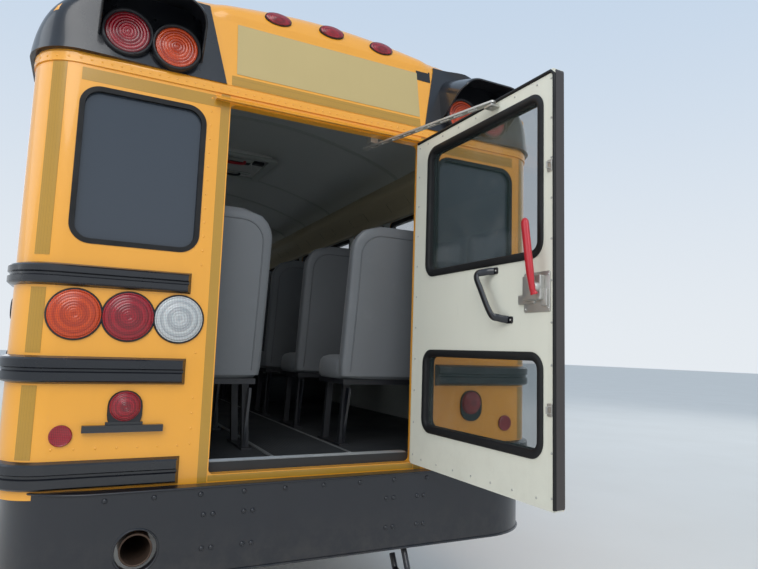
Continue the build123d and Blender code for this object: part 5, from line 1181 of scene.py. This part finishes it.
class BUS_OT_seats(bpy.types.Operator):
    """Build the 24 padded benches, the driver's seat and the two crash barriers"""

    bl_idname = "bus.seats"
    bl_label = "Seats"

    def execute(self, context):
        s = context.scene.bus_seats
        first_back = first_cushion = None
        y_in, y_out = 0.207, 1.170
        welts, gussets = [], []
        for k in range(SEAT_ROWS):
            x = 0.262 + SEAT_PITCH * k
            lv = back_pad(x, y_in, y_out, SEAT_TRAY, 2.083, s.crown)
            bench = [cushioned(lv, 6.0, 56), seat_cushion(x, y_in, y_out + 0.001, SEAT_TRAY, s.crown)]
            seams = [pipe(seat_seam(lv, s.seam_in, face), s.welt, 6) for face in (-1, 1)]
            brace = [(x + 0.058, 0.98), (x + 0.058, 1.012), (x - 0.002, 1.236), (x - 0.002, 1.2625),
                     (x + 0.030, 1.2625), (x + 0.086, 1.06), (x + 0.086, 0.98)]
            feet = [bar(brace, y_in + 0.0395, y_in + 0.0515, "y"),
                    slab((x + 0.073, y_in + 0.038, 0.9635), 0.036, 0.040, 0.006, 0.002, 0.002, axis="z")]
            for flip, tag in ((same, "left"), (mirrored, "right")):
                back, cushion = [flip(p) for p in bench]
                welts += [flip(p) for p in seams]
                gussets += [flip(p) for p in feet]
                b = piece("seat_back_%s_%02d" % (tag, k + 1), [back], "vinyl", smooth=60)
                c = piece("seat_cushion_%s_%02d" % (tag, k + 1), [cushion], "vinyl", smooth=60)
                first_back, first_cushion = first_back or b, first_cushion or c
        driver_x, driver_y = 9.02, 0.56
        rows = np.array([(1.396, 0, 0.22, 8.79), (1.40, 0.055, 0.225, 8.79), (1.6, 0.062, 0.24, 8.745),
                         (1.9, 0.055, 0.235, 8.70), (2.06, 0.048, 0.20, 8.672), (2.115, 0.035, 0.15, 8.665),
                         (2.122, 0.0, 0.10, 8.664)])
        grid = np.linspace(0, 6, 34)
        fine = np.stack([np.interp(grid, np.arange(7), column) for column in rows.T] + [np.full(34, driver_y)], -1)
        d = piece("driver_back", [cushioned(fine, 3.5)], "vinyl", smooth=60)
        rows = [(1.276, 0, 0), (1.277, 0.22, 0.235), (1.30, 0.236, 0.247), (1.36, 0.238, 0.248), (1.386, 0.225, 0.235),
                (1.394, 0.19, 0.20), (1.395, 0.0, 0.0)]
        levels = [(*level, driver_x, driver_y) for level in rows]
        d = piece("driver_cushion", [cushioned(levels, 4.0)], "vinyl", smooth=60)
        for side, x, tag in ((1, 8.48, "left"), (-1, 8.70, "right")):
            pad = slab((x, side * 0.699, 1.5625), 0.472, 0.4365, 0.05, 0.001, 0.039, 0.016)
            p = piece("barrier_pad_" + tag, [pad], "vinyl")
        piece("seat_welts", welts, "welt", smooth=60)
        piece("seat_gussets", gussets, "black")
        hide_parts("seat_backs")
        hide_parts("seat_cushions")
        return {"FINISHED"}


# Wheels
def tyre_skin(x, y, blocks, depth, drive):
    """A tyre turned about Y: bead, bulged sidewall with two low rings, shoulder and a tread whose radius drops
    by depth in its grooves, which run round it and, between the blocks, across it at a slant."""
    side = np.array([
        (0.2862, 0.117), (0.290, 0.1225), (0.297, 0.1262), (0.306, 0.1272), (0.312, 0.1262), (0.330, 0.1312),
        (0.352, 0.1360), (0.355, 0.1372), (0.362, 0.1372), (0.365, 0.1366), (0.385, 0.1388), (0.405, 0.1393),
        (0.430, 0.1378), (0.448, 0.1352), (0.451, 0.1358), (0.458, 0.1340), (0.461, 0.1322), (0.478, 0.1262),
        (0.494, 0.1190), (0.506, 0.1125)])
    flat, tread_end = 0.1065, 0.104
    w = np.concatenate([[-flat], np.linspace(-0.1035, 0.1035, 57), [flat]])
    crown = 0.5196 - 0.004 * (w / flat) ** 2 - 0.003 * (np.abs(w) > 0.105)
    radius = np.concatenate([side[:, 0], crown[::-1], side[::-1, 0]])[:, None]
    width = np.concatenate([side[:, 1], w[::-1], -side[::-1, 1]])[:, None]
    turn = np.linspace(0, 2 * math.pi, blocks * 6, endpoint=False)
    wide = np.abs(width)
    rounds = np.zeros_like(width)
    for at in (-0.062, -0.020, 0.020, 0.062):
        rounds = np.maximum(rounds, 1 - smoothstep(np.abs(width - at), 0.0036, 0.0062))
    beat = np.abs((turn / (2 * math.pi) * blocks + width * (14.0 if drive else 5.0) * np.sign(width)) % 1.0 - 0.5)
    across = smoothstep(beat, 0.30, 0.42) * ((wide > 0.064) | (drive & (wide > 0.022)))
    shoulder = (wide >= tread_end) & (wide < 0.1265) & (radius > 0.474)
    drop = np.maximum(rounds, 0.85 * across) * (wide < tread_end) * depth + shoulder * across * 0.006
    r = radius - drop
    return weave(points(x + r * np.cos(turn), y + width, WHEEL_Z + r * np.sin(turn)), close_u=True, close_v=True)


def nuts(x, y, circle, count, size):
    """Wheel nuts on a circle: six-sided, chamfered, with the stud's end standing out."""
    profile = [(0.0, -0.004), (size, -0.004), (size, 0.011), (size * 0.82, 0.0155), (size * 0.55, 0.0155),
               (size * 0.5, 0.026), (0.0, 0.027)]
    t = np.linspace(0, 2 * math.pi, count, endpoint=False) + 0.2
    return [turned((x + circle * math.cos(a), y, WHEEL_Z + circle * math.sin(a)), profile, "y", 6) for a in t]


class BUS_OT_wheels(bpy.types.Operator):
    """Build the treaded tyres, the wheel nuts and the hub caps"""

    bl_idname = "bus.wheels"
    bl_label = "Tyres, nuts and hubs"

    def execute(self, context):
        s = context.scene.bus_tyres
        front = [tyre_skin(FRONT_AXLE, 1.030, s.blocks, s.depth, False)]
        rear = [tyre_skin(REAR_AXLE, y, s.blocks, s.depth, True) for y in (1.0555, 0.7305)]
        profile = [(0.0, -0.002), (0.108, -0.002), (0.108, 0.003), (0.104, 0.006), (0.076, 0.008), (0.072, 0.012),
                   (0.070, 0.032), (0.062, 0.040), (0.02, 0.043), (0.0, 0.043)]
        cap = turned((FRONT_AXLE, 1.120, WHEEL_Z), profile, "y", 48)
        front_steel = nuts(FRONT_AXLE, 1.080, 0.130, s.nuts, 0.015) + nuts(FRONT_AXLE, 1.126, 0.090, 6, 0.008)
        profile = [(0.0, -0.002), (0.128, -0.002), (0.128, 0.008), (0.124, 0.012), (0.085, 0.013), (0.080, 0.017),
                   (0.078, 0.030), (0.070, 0.036), (0.0, 0.037)]
        hub = turned((REAR_AXLE, 1.133, WHEEL_Z), profile, "y", 48)
        rear_steel = nuts(REAR_AXLE, 0.9385, 0.1475, s.nuts, 0.015) + nuts(REAR_AXLE, 1.145, 0.105, 8, 0.010)
        for flip, tag in ((same, "left"), (mirrored, "right")):
            body = "wheel_front_" + tag
            tyre = piece("tread_front_" + tag, [flip(p) for p in front], "tyre", body, smooth=32)
            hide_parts("front_tyre_" + tag)
            piece("hub_front_" + tag, [flip(cap)], "grey_rim", body)
            piece("nuts_front_" + tag, [flip(p) for p in front_steel], "nut_steel", body, smooth=25)
            body = "wheels_rear_" + tag
            tyre = piece("tread_rear_" + tag, [flip(p) for p in rear], "tyre", body, smooth=32)
            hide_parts("rear_tyres_" + tag)
            piece("hub_rear_" + tag, [flip(hub)], "grey_rim", body)
            piece("nuts_rear_" + tag, [flip(p) for p in rear_steel], "nut_steel", body, smooth=25)
        return {"FINISHED"}


# Sides and front
def outward(where):
    """At each point the sideways direction away from the middle."""
    return points(0.0, np.sign(where[:, 1]), 0.0)


class BUS_OT_sides(bpy.types.Operator):
    """Rivet the side panels and rub rails, edge the stop arms and add the side window catches"""

    bl_idname = "bus.sides"
    bl_label = "Side rivets and stop arms"

    def execute(self, context):
        spots = []
        for side, end in ((1, 9.40), (-1, 8.80)):
            for z in (1.800, 2.505):
                spots.append(points(row(0.20, end, 0.09), side * HALF, z))
            for x in np.array(WINDOWS + [WINDOWS[-1] + BAY]) - 0.0455:
                if x > end:
                    continue
                z = [row(1.09, 1.26, 0.06), row(1.43, 1.62, 0.06), row(1.86, 2.46, 0.075)]
                if abs(x - REAR_AXLE) > 0.75:
                    z.append(row(0.62, 0.88, 0.065))
                spots.append(points(x, side * HALF, np.concatenate(z)))
        where = np.concatenate(spots)
        piece("side_rivets", [studs(where, outward(where), *RIVET)], "paint")
        heads = []
        for side, end in ((1, 9.40), (-1, 8.74)):
            for z0, z1 in RAIL_BANDS:
                x = row(0.30, end, 0.30)
                x = x[np.abs(x - REAR_AXLE) > 0.70] if z0 < 1.0 else x
                for x_stop in STOP_ARMS.values():
                    x = x[np.abs(x - x_stop) > 0.33] if side > 0 else x
                heads.append(points(x, side * (HALF + 0.0178), (z0 + z1) / 2))
        where = np.concatenate(heads)
        piece("rail_screws", [studs(where, outward(where), 0.0055, 0.003)], "black")
        catches = [slab((x + dx, side * 1.188, 2.131), 0.016, 0.008, 0.003, side * -0.010, side * 0.002, 0.002, "y")
                   for x in WINDOWS for dx in (0.06, 0.56) for side in (1, -1)]
        piece("window_catches", catches, "black_trim")
        t = np.radians(22.5 + 45 * np.arange(8))
        k = np.linspace(0, 1, 24)
        bulge = dome(0.045, 0.001 + 0.004 * np.sin(k * math.pi / 2) + 0.0006 * np.abs(np.sin(k * 5 * math.pi)))
        bezel = [(0.052, -0.004), (0.052, 0.002), (0.049, 0.004), (0.0455, 0.002), (0.045, -0.004)]
        edge = ((0.2425, 0.0), (0.2425, 0.0006), (0.2265, 0.0006), (0.2265, 0.0))
        for name, x in STOP_ARMS.items():
            borders, lenses, rims = [], [], []
            for y, out in ((1.276, 1), (1.268, -1)):
                rings = [points(x + r * np.cos(t), y + out * h, 1.475 + r * np.sin(t)) for r, h in edge]
                borders.append(weave(np.stack(rings), close_u=True, close_v=True))
            for z in (1.345, 1.605):
                for y, out in ((1.298, 1), (1.256, -1)):
                    lenses.append(turned((x, y, z), faced([(0.0, -0.002)] + bulge, out), "y"))
                    rims.append(turned((x, y, z), faced(bezel, out), "y", ring=True))
            piece(name + "_border", borders, "white_tape", name)
            piece(name + "_lenses", lenses, "red_lens", name)
            piece(name + "_rims", rims, "black_trim", name)
        return {"FINISHED"}


def screen_x(z):
    """Station of the leaning windscreen at a height."""
    return 9.75 - (z - 1.48) * 0.095


class BUS_OT_front(bpy.types.Operator):
    """Seal the windscreen, hang the wipers, and finish the mirrors, headlamps, grille, hood and entry door"""

    bl_idname = "bus.front"
    bl_label = "Front end"

    def execute(self, context):
        seals, lap = [], 0.006
        section = [(0.0, -0.012), (-0.001, 0.003), (0.006, 0.007), (0.018, 0.006), (0.022, 0.0), (0.022, -0.014)]
        for side in (1, -1):
            v, q = rim((0, side * 0.5035, 2.0), 0.4815 + lap, 0.44 + lap, 0.056, section)
            v[:, 0] += screen_x(v[:, 2])
            seals.append((v, q))
        piece("windscreen_seals", seals, "rubber", smooth=50)
        arms = []
        pivot = [(0.0, -0.015), (0.022, -0.015), (0.022, 0.006), (0.016, 0.012), (0.0, 0.013)]
        for y0, y1 in ((0.10, 0.62), (-0.80, -0.28)):
            path = [(screen_x(z) + out, y, z) for out, y, z in (
                (0.012, y0, 1.52), (0.020, y0 + 0.02, 1.60), (0.010, y1 - 0.07, 1.90), (-0.004, y1, 2.02))]
            arms.append(pipe(smooth_path(path), 0.006, 8))
            arms.append(turned(path[0], pivot, n=24))
            blade = [(screen_x(z) - 0.008, y, z) for y, z in ((y1 - 0.12, 1.70), (y1 + 0.08, 2.30))]
            arms.append(pipe(np.linspace(*blade, 10), 0.0065, 8, flat=0.6))
        piece("wipers", arms, "black_trim", smooth=50)
        glasses, rounds, frames, bowls, signals = [], [], [], [], []
        bowl = [(0.0, 0.002), (0.100, 0.002), (0.099, -0.002), (0.08, -0.006), (0.04, -0.010), (0.0, -0.011)]
        edge = [(0.0, -0.004), (0.0, 0.005), (0.004, 0.0075), (0.009, 0.006), (0.011, 0.0045), (0.011, -0.004)]
        lit = [(0.0, -0.001)] + dome(0.056, 0.0006 + 0.003 * np.sin(np.linspace(0, 1, 20) * 1.57))
        for side in (1, -1):
            for z, tall in ((2.02, 0.085), (1.815, 0.095)):
                glasses.append(slab((9.70, side * 1.3625, z), 0.078, tall, 0.03, 0.0005, -0.0025, 0.0012))
            rounds.append(turned((11.075, side * 1.09, 1.5), bowl, n=40))
            frames.append(rim((11.17, side * 0.970, 0.865), 0.158, 0.073, 0.024, edge))
            bowls += [turned((11.174, side * 0.970 + dy, 0.865), lit) for dy in (-0.07, 0.07)]
            signals.append(slab((11.02, side * 1.195, 1.02), 0.055, 0.022, 0.012, side * -0.004, side * -0.0005,
                                axis="y"))
        piece("mirror_glasses", glasses, "mirror")
        piece("hood_mirror_glasses", rounds, "mirror", "hood")
        piece("headlamp_frames", frames, "bright", "hood")
        piece("headlamp_bowls", bowls, "clear_lens", "hood")
        piece("fender_lamps", signals, "amber_lens", "hood")
        section = ((11.160, -0.013), (11.172, -0.012), (11.1755, -0.004), (11.1755, 0.004), (11.172, 0.012),
                   (11.160, 0.013))
        bars = [bar([(x, z + dz) for x, dz in section], -0.402, 0.402, "y") for z in (0.9555, 1.0055, 1.0555, 1.1055)]
        edge = [(0.0, -0.004), (0.0, 0.004), (0.006, 0.008), (0.020, 0.008), (0.026, 0.004), (0.026, -0.004)]
        piece("grille_bars", bars + [rim((11.168, 0, 1.031), 0.436, 0.125, 0.034, edge)], "bright", "hood")
        edge = [(0.0, 0.002), (0.0, -0.002), (0.005, -0.0045), (0.012, -0.003), (0.013, 0.008)]
        section = ((-0.003, -1.231), (0.012, -1.2315), (0.016, -1.229), (0.016, -1.197), (-0.003, -1.196))
        for body, x0, x1, inner, sign in (("entry_rear", 8.856, 9.180, 9.180, -1),
                                          ("entry_front", 9.190, 9.514, 9.190, 1)):
            strips = [bar([(inner + sign * dx, y) for dx, y in section], 0.45, 2.40, "z")]
            for z0, z1 in ((0.560, 1.180), (1.260, 2.330)):
                centre = ((x0 + x1) / 2, -1.228, (z0 + z1) / 2)
                strips.append(rim(centre, (x1 - x0) / 2 - 0.044, (z1 - z0) / 2 + 0.006, 0.04, edge, "y"))
            piece(body + "_rubber", strips, "rubber", body, smooth=50)
        return {"FINISHED"}


class BUS_OT_frame_finish(bpy.types.Operator):
    """Give every node of the frame its finish"""

    bl_idname = "bus.frame_finish"
    bl_label = "Paint the frame"

    def execute(self, context):
        finishes(context.scene.bus_paint)
        missing = sorted(set(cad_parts) - set(NODE_FINISH))
        if missing:
            raise RuntimeError("no finish for " + ", ".join(missing))
        for name, key in NODE_FINISH.items():
            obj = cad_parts[name]
            obj.data.materials.clear()
            obj.data.materials.append(FINISH[key])
        return {"FINISHED"}


class BUS_OT_stage(bpy.types.Operator):
    """Set the camera, the pale floor, the overcast sky and the soft lights"""

    bl_idname = "bus.stage"
    bl_label = "Stage"

    def execute(self, context):
        s = context.scene.bus_stage
        floor, t, shader = blank("pale_floor")
        tone = cloud(t, coordinates(t), 0.8, 6.0)
        feed(t, shader, {"Base Color": mix(t, tone, srgb(222, 217, 209), srgb(232, 228, 221)), "Roughness": 0.9})
        mesh = bpy.data.meshes.new("pale_floor")
        mesh.from_pydata([(-90, -90, 0), (90, -90, 0), (90, 90, 0), (-90, 90, 0)], [], [(0, 1, 2, 3)])
        mesh.materials.append(floor)
        ground = bpy.data.objects.new("pale_floor", mesh)
        context.scene.collection.objects.link(ground)
        world = bpy.data.worlds.new("overcast")
        world.use_nodes = True
        t = world.node_tree
        height = node(t, "SeparateXYZ", {0: node(t, "TexCoord").outputs["Generated"]}).outputs[2]
        sky = mix(t, ramp(t, height, -0.05, 0.7), srgb(214, 219, 224), srgb(178, 196, 216))
        feed(t, t.nodes["Background"], {"Color": sky, "Strength": s.sky})
        context.scene.world = world
        fill = 0.35 * s.key
        for name, where, aim, size, power, tint in (
                ("key", (-13.0, 4.0, 9.0), (-5.0, 0, 1.5), 9.0, s.key, (1.0, 0.98, 0.95)),
                ("fill_left", (-2.0, 12.0, 7.0), (0, 0, 1.2), 9.0, fill, (0.95, 0.98, 1.0)),
                ("fill_right", (0.0, -13.0, 8.0), (0, 0, 1.2), 10.0, fill, (0.95, 0.98, 1.0)),
                ("front", (15.0, 3.0, 8.0), (0, 0, 1.2), 9.0, fill, (1.0, 1.0, 1.0))):
            light = bpy.data.lights.new(name, "AREA")
            light.shape, light.size, light.energy, light.color = "DISK", size, power, tint
            lamp = bpy.data.objects.new(name, light)
            lamp.location = where
            lamp.rotation_euler = (Vector(aim) - Vector(where)).to_track_quat("-Z", "Y").to_euler()
            context.scene.collection.objects.link(lamp)
        lens_data = bpy.data.cameras.new("photo_camera")
        lens_data.sensor_width, lens_data.lens, lens_data.clip_end = 36, s.focal, 500
        cam = bpy.data.objects.new("photo_camera", lens_data)
        place = (-7.687, 0.970, 1.449)
        yaw, pitch, roll = 0.4586, 0.1125, 0.0324
        ahead = Vector((math.cos(pitch) * math.cos(yaw), -math.cos(pitch) * math.sin(yaw), math.sin(pitch)))
        flat = ahead.cross(Vector((0, 0, 1))).normalized()
        upright = flat.cross(ahead)
        right = flat * math.cos(roll) + upright * math.sin(roll)
        up = upright * math.cos(roll) - flat * math.sin(roll)
        cam.matrix_world = Matrix.Translation(place) @ Matrix((right, up, -ahead)).transposed().to_4x4()
        context.scene.collection.objects.link(cam)
        context.scene.camera = cam
        context.scene.view_settings.view_transform = "Standard"
        return {"FINISHED"}


class BUS_PT_panel(bpy.types.Panel):
    """List the steps that dress the bus"""

    bl_idname = "BUS_PT_panel"
    bl_label = "School bus"
    bl_space_type = "VIEW_3D"
    bl_region_type = "UI"
    bl_category = "School bus"

    def draw(self, context):
        for key in GROUPS:
            group, box = getattr(context.scene, key), self.layout.box()
            for name in group.__annotations__:
                box.prop(group, name)
        for step in STEPS:
            self.layout.operator(step.bl_idname)


STEPS = (BUS_OT_frame_finish, BUS_OT_rear_tape, BUS_OT_rear_rivets, BUS_OT_rear_cap, BUS_OT_rear_door, BUS_OT_inside,
         BUS_OT_bumpers, BUS_OT_wheels, BUS_OT_sides, BUS_OT_front, BUS_OT_seats, BUS_OT_stage)
GROUPS = {"bus_paint": BusPaint, "bus_seats": BusSeats, "bus_tyres": BusTyres, "bus_stage": BusStage}


def register():
    """Add the settings, the operators and the panel."""
    for cls in (*GROUPS.values(), *STEPS, BUS_PT_panel):
        bpy.utils.register_class(cls)
    for name, cls in GROUPS.items():
        setattr(bpy.types.Scene, name, bpy.props.PointerProperty(type=cls))


def unregister():
    """Take them away again."""
    for name in GROUPS:
        delattr(bpy.types.Scene, name)
    for cls in reversed((*GROUPS.values(), *STEPS, BUS_PT_panel)):
        bpy.utils.unregister_class(cls)


def main():
    """Run every step."""
    register()
    for step in STEPS:
        group, name = step.bl_idname.split(".")
        if getattr(getattr(bpy.ops, group), name)() != {"FINISHED"}:
            raise RuntimeError(step.bl_idname + " didn't finish")


if __name__ == "__main__":
    main()
